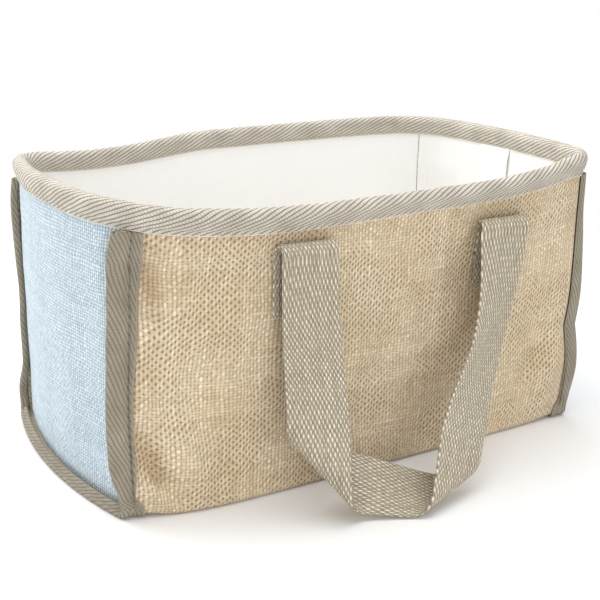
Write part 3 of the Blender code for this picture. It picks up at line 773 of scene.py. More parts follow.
def wallHeights(rows, top):
    lower = spread(rows, body["foldRadius"], finTop)
    return lower + spread(juteWrap["rimRows"], finTop, top)[1:]


def pathRows(top):
    half = spread(juteWrap["baseRows"], 0, baseHalf)[1:]
    half += spread(juteWrap["foldRows"], baseHalf, wallStart)[1:]
    half += [wallStart + z - body["foldRadius"] for z in wallHeights(juteWrap["wallRows"], top)[1:]]
    return [-run for run in reversed(half)] + [0] + half


finReach = wallStart + finTop - body["foldRadius"]


def finWidth(run, end):
    height = abs(run) - wallStart
    fabric = fins["fabric"] + (fins["wider"] if end < 0 and run < 0 else 0)
    full = fins["base"] + (fabric - fins["base"]) * ease(height, 0, fins["rise"])
    return full - fins["taper"] * ease(height, wallRun - fins["taperRun"], wallRun)


def finFrame(run, end):
    # Seam point, the fin's direction out of it, the face of the fin that shows, and the cloth's normal
    point, normal, along = wrapFrame(run, end)
    height = max(abs(run) - wallStart, 0)
    side = way(run)
    endSeed, seed = fins["waveSeeds"]
    wave = noise.noise(Vector((run / fins["waveLength"], end * endSeed, seed))) * fins["wave"]
    lowTurn, highTurn = fins["turns"][(end, side)]
    turn = lowTurn + (highTurn - lowTurn) * ease(height, fins["turnFrom"], fins["turnTo"])
    turn = math.radians(turn + wave) * ease(height, 0, body["cornerStart"] * 2)
    direction = Vector((end * math.cos(turn), -side * math.sin(turn), 0))
    outer = along.cross(direction).normalized() * end
    return point - normal * body["jute"] / 2, direction, outer, normal


def buildWrap():
    rows = pathRows(crestHeight)
    columns = juteWrap["columns"]
    extra = juteWrap["finColumns"]
    shares = spread(columns - 1, -1, 1)

    def place(row, column):
        run, inner = rows[row], column - extra
        if 0 <= inner < columns:
            return wrapLayer(run, shares[inner], body["jute"] / 2)
        end = -1 if inner < 0 else 1
        steps = -inner if inner < 0 else inner - columns + 1
        seam, direction, outer, normal = finFrame(run, end)
        return seam + direction * finWidth(run, end) * steps / extra

    def mapping(row, column):
        return (column - extra) / (columns - 1) * 2 * body["halfLength"], rows[row] + pathHalf

    def aboveFins(corners):
        outside = any(not extra <= column < columns + extra for row, column in corners)
        return outside and any(abs(rows[row]) > finReach + 0.0001 for row, column in corners)

    def hollow(row, column):
        # How deep the cloth lies in a pocket, for the painted shade that darkens its colour there
        height = abs(rows[row]) - wallStart
        if height < 0:
            return 0
        inner = min(max(column - extra, 0), columns - 1)
        wall = "front" if rows[row] < 0 else "back"
        push = softPush(wall, shares[inner] * body["halfLength"], height + body["foldRadius"])
        return min(max(-push - juteWrap["pocketShadeFrom"], 0) / juteWrap["pocketShadeFull"], 1)

    cloth = layCloth("jute_wrap_cloth", len(rows), columns + 2 * extra, place, mapping, aboveFins, hollow)
    thickenCloth(cloth, body["jute"])
    cloth.data.materials.append(juteCloth)
    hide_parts("jute_wrap")
    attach(cloth, "basket")
    return cloth


buildWrap()
print("jute wrap laid")


# The blue end panels

endPanel = {"columns": 60, "foldRows": 5, "footGap": 0.0012, "weaveShift": 0.5}


def endRows(depth, top, wallRows):
    rows = []
    for turn in spread(endPanel["foldRows"], math.pi / 2, 0):
        z = body["foldRadius"] - (body["foldRadius"] - depth) * math.sin(turn)
        y = baseHalf + (body["foldRadius"] - depth) * math.cos(turn)
        rows.append((z, y / body["halfDepth"]))
    return rows + [(z, None) for z in wallHeights(wallRows, top)[1:]]


def endMargin(run, end):
    seam, direction, outer, normal = finFrame(run, end)
    sine, cosine = 1, 0
    if abs(run) > wallStart:
        side = way(run)
        z = body["foldRadius"] + abs(run) - wallStart
        inside = side * (1 - body["tapeOnPanel"] / body["halfDepth"])
        inward = (endOutside(end, z, inside) - endOutside(end, z, side)).normalized()
        sine, cosine = direction.cross(inward).length, max(direction.dot(inward), 0)
    return (body["jute"] / 2 + (body["jute"] + body["gap"] + body["jute"] / 2 * cosine) / sine), sine, cosine


def buildEndPanel(name, end, node):
    rows = endRows(body["jute"] + body["gap"], crestHeight, juteWrap["wallRows"])
    columns = endPanel["columns"]
    margins = {}

    def place(row, column):
        z, edge = rows[row]
        share = column / (columns - 1) * 2 - 1
        if edge is None:
            side = way(share)
            if (row, side) not in margins:
                radius = planRadius(z, end, side)
                half = body["halfDepth"] - radius + radius * math.pi / 4
                run = side * (wallStart + z - body["foldRadius"])
                margins[(row, side)] = 1 - endMargin(run, end)[0] / half
            share *= margins[(row, side)]
        else:
            share *= edge * (1 - endPanel["footGap"] / body["halfDepth"])
        point, normal, backward = endFrame(end, z, share)
        return point - normal * body["jute"] / 2

    def mapping(row, column):
        shift = endPanel["weaveShift"] if end > 0 else 0
        return column / (columns - 1) * 2 * body["halfDepth"] + shift, rows[row][0]

    cloth = layCloth(name, len(rows), columns, place, mapping)
    thickenCloth(cloth, body["jute"])
    cloth.data.materials.append(blueCloth)
    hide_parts(node)
    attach(cloth, "basket")


buildEndPanel("left_end_cloth", -1, "left_end_panel")
buildEndPanel("right_end_cloth", 1, "right_end_panel")
print("end panels laid")


# The cotton lining, loose and lightly creased

lining = {
    "columns": 90, "endColumns": 52, "wallRows": 48, "sideMargin": 0.0022, "endMargin": 0.0024,
    "closed": 0.0003,
    "crease": 0.0011, "creaseSize": 0.030, "creaseStretch": 0.6, "fineShare": 0.25, "fineScale": 2.6,
    "sideSeed": 5.0, "endSeed": 9.0, "heldUnderRim": (0.016, 0.040), "heldAtEdge": 0.10, "heldAtFoot": 0.02,
    "footFrom": 0.006, "roundCorner": (0.001, 0.005),
}
liningDepth = body["jute"] + body["gap"] + body["lining"] / 2


def liningCrease(along, up, seed, height, edge):
    # The lining only ever stands off the jute, never into it
    spot = Vector((along / lining["creaseSize"], up / lining["creaseSize"] * lining["creaseStretch"], seed))
    soft = 0.5 + 0.5 * noise.noise(spot) + lining["fineShare"] * noise.noise(spot * lining["fineScale"])
    free = ease(body["rimHeight"] - height, *lining["heldUnderRim"])
    free *= ease(1 - abs(edge), 0, lining["heldAtEdge"])
    return max(soft, 0) * lining["crease"] * free


def liningMargin(z, end, side, full):
    # The lining sheets stop short of a square corner and meet in a round one
    return full - (full - lining["closed"]) * ease(planRadius(z, end, side), *lining["roundCorner"])


def buildLiningWrap():
    rows = pathRows(crestHeight)
    columns = lining["columns"]

    def place(row, column):
        run, share = rows[row], column / (columns - 1) * 2 - 1
        height = max(abs(run) - wallStart, 0)
        share *= 1 - liningMargin(height, way(share), way(run), lining["sideMargin"]) / body["halfLength"]
        stand = liningCrease(share * body["halfLength"], run, lining["sideSeed"], height, share)
        stand *= ease(height, 0, lining["heldAtFoot"])
        return wrapLayer(run, share, liningDepth + stand)

    def mapping(row, column):
        return column / (columns - 1) * 2 * body["halfLength"], rows[row] + pathHalf

    cloth = layCloth("lining_wrap_cloth", len(rows), columns, place, mapping)
    thickenCloth(cloth, body["lining"])
    cloth.data.materials.append(liningCloth)
    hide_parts("lining_wrap")
    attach(cloth, "basket")


def buildLiningEnd(name, end, node):
    rows = endRows(liningDepth + body["lining"] / 2 + body["gap"], crestHeight, lining["wallRows"])
    columns = lining["endColumns"]

    def place(row, column):
        z, edge = rows[row]
        share = column / (columns - 1) * 2 - 1
        share *= 1 - liningMargin(z, end, way(share), lining["endMargin"]) / body["halfDepth"]
        share *= 1 if edge is None else edge
        stand = liningCrease(share * body["halfDepth"], z, lining["endSeed"] + end, z, share)
        stand *= ease(z, lining["footFrom"], lining["heldAtFoot"])
        point, normal, backward = endFrame(end, z, share)
        return point - normal * (liningDepth + stand)

    def mapping(row, column):
        return column / (columns - 1) * 2 * body["halfDepth"], rows[row][0]

    cloth = layCloth(name, len(rows), columns, place, mapping)
    thickenCloth(cloth, body["lining"])
    cloth.data.materials.append(liningCloth)
    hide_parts(node)
    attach(cloth, "basket")


buildLiningWrap()
buildLiningEnd("lining_left_cloth", -1, "lining_left_end")
buildLiningEnd("lining_right_cloth", 1, "lining_right_end")
print("lining laid")


# Binding tape over the fins of both ends

endTape = {
    "panelShares": (1, 0.8, 0.5, 0.22, 0.09), "finShares": (0.06, 0.14, 0.26, 0.4, 0.55, 0.7, 0.85),
    "tipColumns": 9, "leafColumns": 5, "puff": 0.0011, "wander": 0.0005, "wanderSize": 0.021,
    "wanderSeeds": (2.3, 7.7), "stitchFromSeam": 0.0020, "stitchSunk": 0.0003,
    "pinch": 0.0006, "pinchReach": 0.0009, "sunk": 0.0004, "leafStart": 0.85, "leafPuff": (0.6, 2.0),
    "valley": 0.0005, "creaseReach": 0.0009, "offBase": 0.010, "flap": 0.0003,
    "footOnPanel": 0.0008, "footTo": (0.002, 0.02), "widening": (0.05, 0.16),
    "onPanel": {(-1, -1): (0.0026, 0.0060), (1, -1): (0.0012, 0.0012),
                (-1, 1): (0.0040, 0.0055), (1, 1): (0.0040, 0.0055)},
}


def buildEndTape(name, end, node):
    rows = [run for run in pathRows(crestHeight) if abs(run) <= finReach + 0.00005]
    over = body["jute"] / 2 + body["tapeGap"] + body["tape"] / 2
    lift = body["tapeGap"] + body["tape"] / 2
    endSeed, seed = endTape["wanderSeeds"]
    wallPuff, basePuff = endTape["leafPuff"]
    stitchPath, stitchNormals, lines, shades = [], [], [], []
    for run in rows:
        seam, direction, outer, normal = finFrame(run, end)
        tip = finWidth(run, end) + body["tapeGap"]
        height = abs(run) - wallStart
        offBase = ease(height, 0, endTape["offBase"])
        spot = Vector((run / endTape["wanderSize"], end * endSeed, seed))
        edgeNoise = noise.noise(spot) * endTape["wander"] * offBase
        low, high = endTape["onPanel"][(end, way(run))]
        onPanel = low + (high - low) * ease(height, *endTape["widening"])
        onPanel -= (low - endTape["footOnPanel"]) * (1 - ease(height, *endTape["footTo"]))
        onPanel = body["tapeOnPanel"] + (onPanel - body["tapeOnPanel"]) * offBase
        # The tape's fold at the seam gets a depth for the painted shade in its crease, fading away from it
        points, creaseShades = [], []
        for share in endTape["panelShares"]:
            away = (onPanel + edgeNoise) * share
            flap = endTape["flap"] * share ** 2 * offBase
            points.append(wrapLayer(run, end * (1 - away / body["halfLength"]), -(lift + flap)))
            creaseShades.append(math.exp(-(away / endTape["creaseReach"]) ** 2))
        hollow = over - endTape["valley"] * offBase
        points.append(seam + (normal + outer) * hollow / (1 + normal.dot(outer)))
        creaseShades.append(1)
        for share in endTape["finShares"]:
            away = tip * share
            creaseShades.append(math.exp(-(away / endTape["creaseReach"]) ** 2))
            swell = endTape["puff"] * math.sin(math.pi * share) * offBase
            fromStitch = (away - endTape["stitchFromSeam"]) / endTape["pinchReach"]
            swell -= endTape["pinch"] * math.exp(-fromStitch ** 2)
            points.append(seam + direction * away + outer * (over + max(swell, -endTape["sunk"])))
        for turn in spread(endTape["tipColumns"] - 1, 0, math.pi):
            points.append(seam + direction * (tip + over * math.sin(turn)) + outer * over * math.cos(turn))
        sine, cosine = endMargin(run, end)[1:]
        start = min((over + body["tape"]) * (1 + cosine) / sine, tip * endTape["leafStart"])
        for step in range(1, endTape["leafColumns"] + 1):
            share = step / endTape["leafColumns"]
            swell = endTape["puff"] * math.sin(math.pi * share) * (wallPuff + basePuff * (1 - offBase))
            points.append(seam + direction * (tip + (start - tip) * share) - outer * (over + swell))
        lines.append(points)
        shades.append([shade * offBase for shade in creaseShades] + [0] * (len(points) - len(creaseShades)))
        stitchOut = over + body["tape"] / 2 - endTape["stitchSunk"] * (2 - offBase)
        stitchPath.append(seam + direction * endTape["stitchFromSeam"] + outer * stitchOut)
        stitchNormals.append(outer)
    lengths = []
    for points in lines:
        total, line = 0, [0]
        for first, second in zip(points, points[1:]):
            total += (second - first).length
            line.append(total)
        lengths.append(line)
    width = max(line[-1] for line in lengths)

    def place(row, column):
        return lines[row][column]

    def mapping(row, column):
        across = lengths[row][column]
        if column == len(lines[row]) - 1:
            across = width
        return rows[row] + pathHalf, across if end > 0 else width - across

    def crease(row, column):
        return shades[row][column]

    tape = layCloth(name, len(rows), len(lines[0]), place, mapping, shadeDepth=crease)
    thickenCloth(tape, body["tape"])
    tape.data.materials.append(twillMaterial(name + "_twill", dict(shadedFinTapeFinish, width=width)))
    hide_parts(node)
    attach(tape, "basket")
    seamThread = sewLine(name + "_stitches", stitchPath, stitchNormals)
    seamThread.data.materials.append(thread)
    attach(seamThread, "basket")


buildEndTape("left_end_tape", -1, "left_end_binding")
buildEndTape("right_end_tape", 1, "right_end_binding")
print("end seams bound")


# Binding tape round the rim, puffed over the stack and pinched where it is sewn

def rimStations():
    # Stations round the rim, from the middle of the back and round to it again
    walls = (("back", -1, 0, 1, 0.15), ("left", -1, -1, 1, 0.20), ("front", 1, -1, 1, 0.30),
             ("right", 1, -1, 1, 0.20), ("back", -1, -1, 0, 0.15))
    stations = []
    for wall, turn, first, last, part in walls:
        steps = round(rimTape["steps"] * part)
        stations += [(wall, share * turn) for share in spread(steps, first, last)[:-1]]
    return stations + [stations[0]]


def rimPlace(wall, share, z):
    if wall in ("front", "back"):
        side = -1 if wall == "front" else 1
        point, normal, along = wrapFrame(side * (wallStart + z - body["foldRadius"]), share)
    else:
        point, normal, backward = endFrame(-1 if wall == "left" else 1, z, share)
    return point, normal


def rimSection():
    # The tape's own profile: depth into the wall, height, and the way it puffs, by length from its outer edge
    outside, inside = -(body["gap"] + body["tape"] / 2), stack + body["gap"] + body["tape"] / 2
    low, lowInside = body["rimHeight"] - rimTape["outside"], body["rimHeight"] - rimTape["inside"]
    crest = math.pi * crestRadius
    width = (crestHeight - low) + crest + (crestHeight - lowInside)
    section = []
    for length in spread(rimTape["sectionSteps"], 0, width):
        if length < crestHeight - low:
            spot = (outside, low + length, -1, 0)
        elif length < crestHeight - low + crest:
            turn = (length - (crestHeight - low)) / crestRadius
            spot = (stack / 2 - crestRadius * math.cos(turn), crestHeight + crestRadius * math.sin(turn),
                    -math.cos(turn), math.sin(turn))
        else:
            spot = (inside, crestHeight - (length - crest - (crestHeight - low)), 1, 0)
        share = length / width
        puff = rimTape["puff"] * math.sin(math.pi * share) ** rimTape["puffPower"]
        if 0 < length < width:
            for height, sign in ((rimTape["stitchOutside"], -1), (rimTape["stitchInside"], 1)):
                if spot[2] == sign:
                    away = spot[1] - (body["rimHeight"] - height)
                    puff -= rimTape["pinch"] * math.exp(-(away / rimTape["pinchReach"]) ** 2)
        section.append((*spot, max(puff, -rimTape["sunkSection"])))
    measured, reached, last = [], 0, None
    for depth, z, outX, outZ, puff in section:
        spot = Vector((depth + outX * puff, z + outZ * puff))
        reached += (spot - last).length if last else 0
        last = spot
        measured.append((depth, z, outX, outZ, puff, reached))
    return measured, reached


def buildRimTape():
    stations = rimStations()
    section, width = rimSection()
    crestDrop = body["rimHeight"] - crestHeight
    lines, travelled, along = [], 0, [0]
    outsidePath, insidePath, outsideNormals, insideNormals = [], [], [], []
    for number, (wall, share) in enumerate(stations):
        points, frames = [], {}
        angle = number / (len(stations) - 1) * 2 * math.pi
        spot = Vector((math.cos(angle) * rimTape["puckerRound"], math.sin(angle) * rimTape["puckerRound"],
                       rimTape["puckerSeed"]))
        pucker = noise.noise(spot) * rimTape["pucker"]
        x = share * body["halfLength"] if wall == "front" else -body["halfLength"]
        narrow = ease(x, *rimTape["narrowFrom"]) * (1 - ease(x, *rimTape["narrowTo"]))
        stretch = 1 - rimTape["narrowing"] * narrow / (rimTape["outside"] - crestDrop)
        for depth, z, outX, outZ, puff, length in section:
            if outX == -1 and z < crestHeight:
                z = crestHeight - (crestHeight - z) * stretch
            level = min(z, crestHeight)
            if level not in frames:
                frames[level] = rimPlace(wall, share, level)
            point, normal = frames[level]
            swell = max(puff + pucker * math.sin(math.pi * length / width), -rimTape["sunk"])
            points.append(point - normal * (depth + outX * swell)
                          + Vector((0, 0, max(z - crestHeight, 0) + outZ * swell)))
        lines.append(points)
        for path, normals, height, sign in ((outsidePath, outsideNormals, rimTape["stitchOutside"], -1),
                                            (insidePath, insideNormals, rimTape["stitchInside"], 1)):
            if sign < 0:
                height = crestDrop + (height - crestDrop) * stretch
            point, normal = rimPlace(wall, share, body["rimHeight"] - height)
            stand = body["gap"] + body["tape"] + rimTape["stitchStand"]
            path.append(point - normal * (-stand if sign < 0 else stack + stand))
            normals.append(-normal * sign)
        if number:
            travelled += (points[rimTape["measuredAt"]] - lines[number - 1][rimTape["measuredAt"]]).length
            along.append(travelled)

    def place(row, column):
        return lines[row][column]

    def mapping(row, column):
        return along[row], section[column][5]

    tape = layCloth("rim_tape", len(stations), len(section), place, mapping)
    closeRing(tape)
    thickenCloth(tape, body["tape"])
    tape.data.materials.append(twillMaterial("rim_tape_lit_twill", dict(litRimTapeFinish, width=width)))
    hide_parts("rim_binding")
    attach(tape, "basket")
    for name, path, normals in (("rim_stitches_outside", outsidePath, outsideNormals),
                                ("rim_stitches_inside", insidePath, insideNormals)):
        seamThread = sewLine(name, path, normals)
        seamThread.data.materials.append(thread)
        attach(seamThread, "basket")


buildRimTape()
print("rim bound")


# Handles: one strip of webbing each, sewn flat at both ends, curled over and hanging to the floor

handle = {
    "width": 0.038, "spacing": 0.142, "offset": 0.0095, "tabSpacing": 0.148, "tabOffset": 0.0128,
    "hingeBelowRim": 0.038, "tabLength": 0.038, "curlRadius": 0.0050, "curlPuff": 0.3, "rollRadius": 0.0070,
    "footX": -0.0246, "footFront": 0.1687, "shortEdge": 0.0182,
    "heading": 25.8, "descent": 5.3, "leans": {-1: 22, 1: 73}, "angles": {-1: 43, 1: 46.3},
    "turns": {-1: 196, 1: 129}, "legLength": 1.03, "legDrop": 1.6,
    "twists": {-1: 0, 1: 19}, "twistPower": 1.3,
    "columns": 14, "tabSteps": 24, "curlSteps": 18, "legSteps": 64, "foldSteps": 40, "bottomSteps": 10,
    "waver": 0.0006, "waverSize": 0.030, "waverWidth": 0.05, "waverSeed": 5.5,
    "waverFrom": (0.01, 0.03), "waverTo": (0.08, 0.115),
    "stitchInset": 0.0030, "stitchStand": 0.00012, "stitchSteps": 10, "blendFrom": 0.0008, "weaveShift": 0.5,
}
hingeHeight = body["rimHeight"] - handle["hingeBelowRim"]
hingeSpots = {joint["child"]: Vector(joint["pos_m"]) for joint in frame["joints"]}
hingeDepth = abs(hingeSpots["front_handle"].y) - body["webbing"] / 2 - body["gap"] / 2


def makeFold(end):
    # A diagonal fold of the front handle and the leg that rises from it
    heading, descent = math.radians(handle["heading"]), math.radians(handle["descent"])
    level = Vector((math.cos(heading), -math.sin(heading), 0))
    along = level * math.cos(descent) - Vector((0, 0, math.sin(descent)))
    upright = (Vector((0, 0, 1)) - along * along.z).normalized()
    angle, turn = math.radians(handle["angles"][end]), math.radians(handle["turns"][end])
    width = Matrix.Rotation(-math.radians(handle["leans"][end]), 3, along) @ upright
    front = along.cross(width)
    outward = along * end
    crease = outward * math.cos(angle) + width * math.sin(angle)
    across = outward * math.sin(angle) - width * math.cos(angle)
    foot = Vector((handle["footX"], -handle["footFront"], body["webbing"] / 2 + body["gap"]))
    if end < 0:
        foot -= along * handle["shortEdge"]
    half = handle["width"] / 2
    spin = Matrix.Rotation(turn, 3, across.cross(front))
    fold = {
        "end": end, "angle": angle, "turn": turn, "width": width, "front": front, "outward": outward,
        "crease": crease, "across": across, "middle": foot + crease * (half / math.sin(angle)),
        "reach": half / math.tan(angle),
        "bendStart": (handle["rollRadius"] * turn + half * math.cos(angle)) / math.sin(angle),
        "leg": spin @ outward, "legWidth": spin @ width, "topWidth": Vector((end, 0, 0)),
        "top": Vector((handle["offset"] + end * handle["spacing"] / 2, -hingeDepth,
                       hingeHeight - body["gap"] / 2 - body["webbing"])),
    }
    fold["bendFoot"] = rolledPoint(fold, fold["bendStart"], 0)
    fold["bendLength"] = (fold["top"] - fold["bendFoot"]).length * handle["legLength"]
    return fold


def beyondCrease(fold, along, over):
    return along * math.sin(fold["angle"]) - over * math.cos(fold["angle"])


def flatPoint(fold, along, over):
    return fold["middle"] + fold["outward"] * along + fold["width"] * over


def rolledPoint(fold, along, over):
    radius = handle["rollRadius"]
    past = beyondCrease(fold, along, over)
    level = along * math.cos(fold["angle"]) + over * math.sin(fold["angle"])
    turn = min(past / radius, fold["turn"])
    spot = fold["middle"] + fold["crease"] * level
    spot += fold["across"] * radius * math.sin(turn) + fold["front"] * radius * (1 - math.cos(turn))
    onward = fold["across"] * math.cos(turn) + fold["front"] * math.sin(turn)
    return spot + onward * (past - radius * turn)


def legPoint(fold, along, over):
    length = fold["bendLength"]
    share = min((along - fold["bendStart"]) / length, 1)
    left = 1 - share
    spot = fold["bendFoot"] * left * left * (1 + 2 * share) + fold["top"] * share * share * (1 + 2 * left)
    spot += fold["leg"] * length * share * left * left
    spot -= Vector((0, 0, length * handle["legDrop"])) * share * share * left
    eased = ease(share, 0, 1)
    width = (fold["legWidth"] * (1 - eased) + fold["topWidth"] * eased).normalized()
    twist = math.radians(handle["twists"][fold["end"]]) * math.sin(math.pi * share ** handle["twistPower"])
    return spot + Matrix.Rotation(twist, 3, 'Z') @ width * over


folds = {end: makeFold(end) for end in (-1, 1)}
between = handle["shortEdge"] + folds[-1]["reach"] + folds[1]["reach"]


def loopPoint(along, over):
    end = way(along)
    fold, other = folds[end], folds[-end]
    pastFold = abs(along) - between / 2
    past = beyondCrease(fold, pastFold, over)
    if past > 0 and pastFold > fold["bendStart"]:
        return legPoint(fold, pastFold, over)
    if past > 0:
        return rolledPoint(fold, pastFold, over)
    toOther = -abs(along) - between / 2
    share = ease(past / (past + beyondCrease(other, toOther, over)), 0, 1)
    return flatPoint(fold, pastFold, over) * (1 - share) + flatPoint(other, toOther, over) * share


def wallRunAt(side, x, height, tries=6):
    # Where on the flat wall a spot lies that the soft one has at x and height, found by a few corrections
    z, share = height, x / body["halfLength"]
    for step in range(tries):
        run = side * (wallStart + z - body["foldRadius"])
        point = wrapOutside(run, share)
        z += height - point.z
        share += (x - point.x) / body["halfLength"]
    return side * (wallStart + z - body["foldRadius"]), share


def tabPoint(side, x, height, depth):
    run, share = wallRunAt(side, x, height)
    return wrapLayer(run, share, depth)


def handleStations():
    # Along the strip from one sewn end to the other: what each row is, and its length along the webbing
    stations = []
    for end in (-1, 1):
        fold = folds[end]
        foldFrom, bendFrom = between / 2 - fold["reach"], between / 2 + fold["bendStart"]
        legTo = bendFrom + fold["bendLength"]
        row = [("loop", length, length) for length in spread(handle["foldSteps"], foldFrom, bendFrom)]
        row += [("loop", length, length) for length in spread(handle["legSteps"], bendFrom, legTo)[1:]]
        curlLength = math.pi * handle["curlRadius"] + body["webbing"]
        row += [("curl", turn, legTo + curlLength * (1 - turn / math.pi))
                for turn in spread(handle["curlSteps"], math.pi, 0)]
        tabTo = legTo + curlLength
        row += [("tab", hingeHeight - down, tabTo + down)
                for down in spread(handle["tabSteps"], 0, handle["tabLength"])[1:]]
        stations.append([(kind, value * (end if kind == "loop" else 1), length * end, end)
                         for kind, value, length in row])
    left, right = folds[-1]["reach"] - between / 2, between / 2 - folds[1]["reach"]
    bottom = [("loop", length, length, way(length))
              for length in spread(handle["bottomSteps"], left, right)[1:-1]]
    return list(reversed(stations[0])) + bottom + stations[1]


def buildHandle(side, sideName):
    stations = handleStations()
    columns = handle["columns"]
    overs = spread(columns - 1, -handle["width"] / 2, handle["width"] / 2)
    endHeight = hingeHeight + body["gap"] / 2
    tabDepth = -(body["gap"] + body["webbing"] / 2)

    def place(row, column):
        kind, value, length, end = stations[row]
        over = overs[column]
        x = handle["tabOffset"] + end * handle["tabSpacing"] / 2 + end * over
        if kind == "loop":
            spot = loopPoint(value, over)
            pastMiddle = abs(length) - between / 2
            loose = ease(pastMiddle, *handle["waverFrom"]) * (1 - ease(pastMiddle, *handle["waverTo"]))
            sway = noise.noise(Vector((length / handle["waverSize"], over / handle["waverWidth"],
                                       handle["waverSeed"] + side)))
            spot.y -= sway * handle["waver"] * loose
            return Vector((spot.x, -side * spot.y, spot.z))
        if kind == "tab":
            return tabPoint(side, x, value, tabDepth)
        back = tabPoint(side, x, hingeHeight, tabDepth)
        front = side * hingeDepth
        y = (back.y + front) / 2 + (back.y - front) / 2 * math.cos(value)
        base = back.z + (endHeight - back.z) * (1 - math.cos(value)) / 2
        shift = handle["offset"] - handle["tabOffset"] + end * (handle["spacing"] - handle["tabSpacing"]) / 2
        rise = handle["curlRadius"] + body["webbing"] * handle["curlPuff"]
        return Vector((x + shift * value / math.pi, y, base + rise * math.sin(value)))

    def mapping(row, column):
        return overs[column] + handle["width"] / 2, stations[row][2] + handle["weaveShift"]

    strip = layCloth(sideName + "_handle_webbing", len(stations), columns, place, mapping)
    thickenCloth(strip, body["webbing"], 1)
    strip.data.materials.append(webCloth)
    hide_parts(sideName + "_handle", sideName + "_handle_left_end", sideName + "_handle_right_end")
    wall = tabPoint(side, handle["tabOffset"] - handle["tabSpacing"] / 2, hingeHeight, tabDepth)
    sideName + "_handle"
    wall.y + side * handle["blendFrom"]
    side * hingeDepth
    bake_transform(strip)
    for end, endName in ((-1, "left"), (1, "right")):
        middle = handle["tabOffset"] + end * handle["tabSpacing"] / 2
        reach = handle["width"] / 2 - handle["stitchInset"]
        top = hingeHeight - handle["stitchInset"]
        low = hingeHeight - handle["tabLength"] + handle["stitchInset"]
        depth = -(body["gap"] + body["webbing"] + handle["stitchStand"])
        outline = [(middle - reach, top), (middle + reach, top), (middle + reach, low), (middle - reach, low),
                   (middle - reach, top)]
        path = []
        for (x0, z0), (x1, z1) in zip(outline, outline[1:]):
            path += [tabPoint(side, x0 + (x1 - x0) * share, z0 + (z1 - z0) * share, depth)
                     for share in spread(handle["stitchSteps"], 0, 1)[:-1]]
        path.append(tabPoint(side, *outline[-1], depth))
        box = sewLine(sideName + "_handle_" + endName + "_stitches", path, [Vector((0, side, 0))] * len(path))
        box.data.materials.append(thread)
        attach(box, "basket")


buildHandle(-1, "front")
buildHandle(1, "back")
print("handles sewn on")


# Care label, left blank, hanging inside the right end from under the rim tape

label = {"width": 0.032, "length": 0.036, "thickness": 0.0004, "middle": 0.013, "tucked": 0.0004,
         "curl": 0.0008, "sideCurl": 0.0005, "sideTurn": 2.4, "sideStart": 0.6,
         "offLining": 0.8, "freeFrom": 0.25, "rows": 24, "columns": 18}


def buildLabel():
    top = body["rimHeight"] - rimTape["inside"] + label["tucked"]

    def place(row, column):
        share = row / (label["rows"] - 1)
        across = column / (label["columns"] - 1) * 2 - 1
        y = label["middle"] + across * label["width"] / 2
        stand = body["gap"] + label["thickness"] / 2 + lining["crease"] * label["offLining"]
        sideLift = math.sin(across * label["sideTurn"] + label["sideStart"])
        lift = label["curl"] * share ** 2 + label["sideCurl"] * share * sideLift
        point, normal, backward = endFrame(1, top - label["length"] * share, y / body["halfDepth"])
        stand *= ease(share, 0, label["freeFrom"])
        return point - normal * (liningDepth + body["lining"] / 2 + stand + label["thickness"] + lift)

    def mapping(row, column):
        return (column / (label["columns"] - 1) * label["width"], row / (label["rows"] - 1) * label["length"])

    tag = layCloth("care_label_cloth", label["rows"], label["columns"], place, mapping)
    thickenCloth(tag, label["thickness"])
    tag.data.materials.append(labelCloth)
    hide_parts("care_label")
    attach(tag, "basket")


buildLabel()
print("label hung")


# Floor, light and camera

studio = {
    "floorSize": 6.0, "floorColour": srgb(244, 244, 244), "whiteFrom": 0.25, "whiteTo": 0.75, "lift": 0.02,
    "sky": 0.56, "skyColour": (1.0, 1.0, 1.0), "lampsAimAt": (0, 0, 0.08),
    "overhead": {"power": 14.2, "size": 1.3, "spot": (0.0, 0.12, 1.20)},
    "key": {"power": 8.0, "size": 0.9, "spot": (-0.75, 0.78, 0.58)},
    "fill": {"power": 5.0, "size": 0.9, "spot": (-0.20, -1.15, 0.22)},
}


def seenDirectly(tree):
    # One for what the camera sees, also by reflection or through glass; nothing for the light on the basket
    rays = tree.nodes.new("ShaderNodeLightPath")
    camera, glossy, through = [Reading(tree, rays.outputs[name]) for name in
                               ("Is Camera Ray", "Is Glossy Ray", "Is Transmission Ray")]
    return camera.atLeast(glossy.atLeast(through))


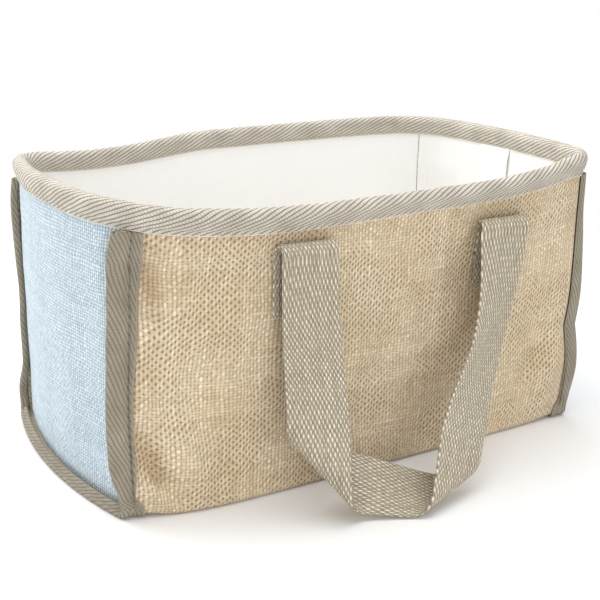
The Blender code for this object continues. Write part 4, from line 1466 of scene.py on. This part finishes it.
def layFloor():
    # White where it lies open, and away from the basket white whatever light reaches it
    bpy.ops.object.select_all(action='DESELECT')
    bpy.ops.mesh.primitive_plane_add(size=studio["floorSize"])
    floor = bpy.context.object
    floor.name = "studio_floor"
    material, tree, shader = newMaterial("pale_floor", 0.9, 0.1)
    shader.inputs["Base Color"].default_value = (*studio["floorColour"], 1)
    seen = seenDirectly(tree)
    place = tree.nodes.new("ShaderNodeTexCoord")
    away = tree.nodes.new("ShaderNodeVectorMath")
    away.operation = 'LENGTH'
    tree.links.new(place.outputs["Object"], away.inputs[0])
    ramp = tree.nodes.new("ShaderNodeMapRange")
    ramp.interpolation_type = 'SMOOTHSTEP'
    ramp.inputs["From Min"].default_value = studio["whiteFrom"]
    ramp.inputs["From Max"].default_value = studio["whiteTo"]
    tree.links.new(away.outputs["Value"], ramp.inputs["Value"])
    white = tree.nodes.new("ShaderNodeEmission")
    white.inputs["Strength"].default_value = 1.0
    blend = tree.nodes.new("ShaderNodeMixShader")
    feed(tree, seen * Reading(tree, ramp.outputs["Result"]), blend.inputs["Fac"])
    tree.links.new(shader.outputs["BSDF"], blend.inputs[1])
    tree.links.new(white.outputs["Emission"], blend.inputs[2])
    tree.links.new(blend.outputs["Shader"], tree.nodes["Material Output"].inputs["Surface"])
    shader.inputs["Emission Color"].default_value = (1.0, 1.0, 1.0, 1)
    feed(tree, seen * studio["lift"], shader.inputs["Emission Strength"])
    floor.data.materials.append(material)
    floor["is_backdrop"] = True


def hangLamp(name, lamp):
    light = bpy.data.lights.new(name, 'AREA')
    light.energy = lamp["power"]
    light.size = lamp["size"]
    holder = bpy.data.objects.new(name, light)
    bpy.context.scene.collection.objects.link(holder)
    holder.location = lamp["spot"]
    aim = Vector(studio["lampsAimAt"]) - holder.location
    holder.rotation_euler = aim.to_track_quat('-Z', 'Y').to_euler()


def lightStudio():
    world = bpy.data.worlds.new("pale_studio")
    bpy.context.scene.world = world
    world.use_nodes = True
    tree = world.node_tree
    sky = tree.nodes["Background"]
    sky.inputs["Color"].default_value = (*studio["skyColour"], 1)
    feed(tree, seenDirectly(tree) * (1 - studio["sky"]) + studio["sky"], sky.inputs["Strength"])
    for name in ("overhead", "key", "fill"):
        hangLamp(name + "_lamp", studio[name])


cameraView = {"azimuth": 31.1, "elevation": 16.8, "roll": 1.22, "distance": 0.782,
              "target": (-0.0111, -0.0212, 0.092), "focal": 70.14}


def setCamera():
    az, el = math.radians(cameraView["azimuth"]), math.radians(cameraView["elevation"])
    back = Vector((-math.sin(az) * math.cos(el), -math.cos(az) * math.cos(el), math.sin(el)))
    right = (-back).cross(Vector((0, 0, 1))).normalized()
    up = right.cross(-back)
    roll = math.radians(cameraView["roll"])
    rolledRight = right * math.cos(roll) + up * math.sin(roll)
    rolledUp = up * math.cos(roll) - right * math.sin(roll)
    camera = bpy.data.objects.new("camera", bpy.data.cameras.new("camera"))
    camera.data.sensor_width = 36
    camera.data.lens = cameraView["focal"]
    camera.data.clip_start = 0.01
    turn = Matrix((rolledRight, rolledUp, back)).transposed().to_4x4()
    place = Vector(cameraView["target"]) + back * cameraView["distance"]
    camera.matrix_world = Matrix.Translation(place) @ turn
    bpy.context.scene.collection.objects.link(camera)
    bpy.context.scene.camera = camera


layFloor()
lightStudio()
setCamera()
bpy.context.scene.view_settings.view_transform = 'Standard'
bpy.context.view_layer.update()
print("studio set")

low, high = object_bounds()
{"cad": [list(cadLow), list(cadHigh)], "visual": [list(low), list(high)]}
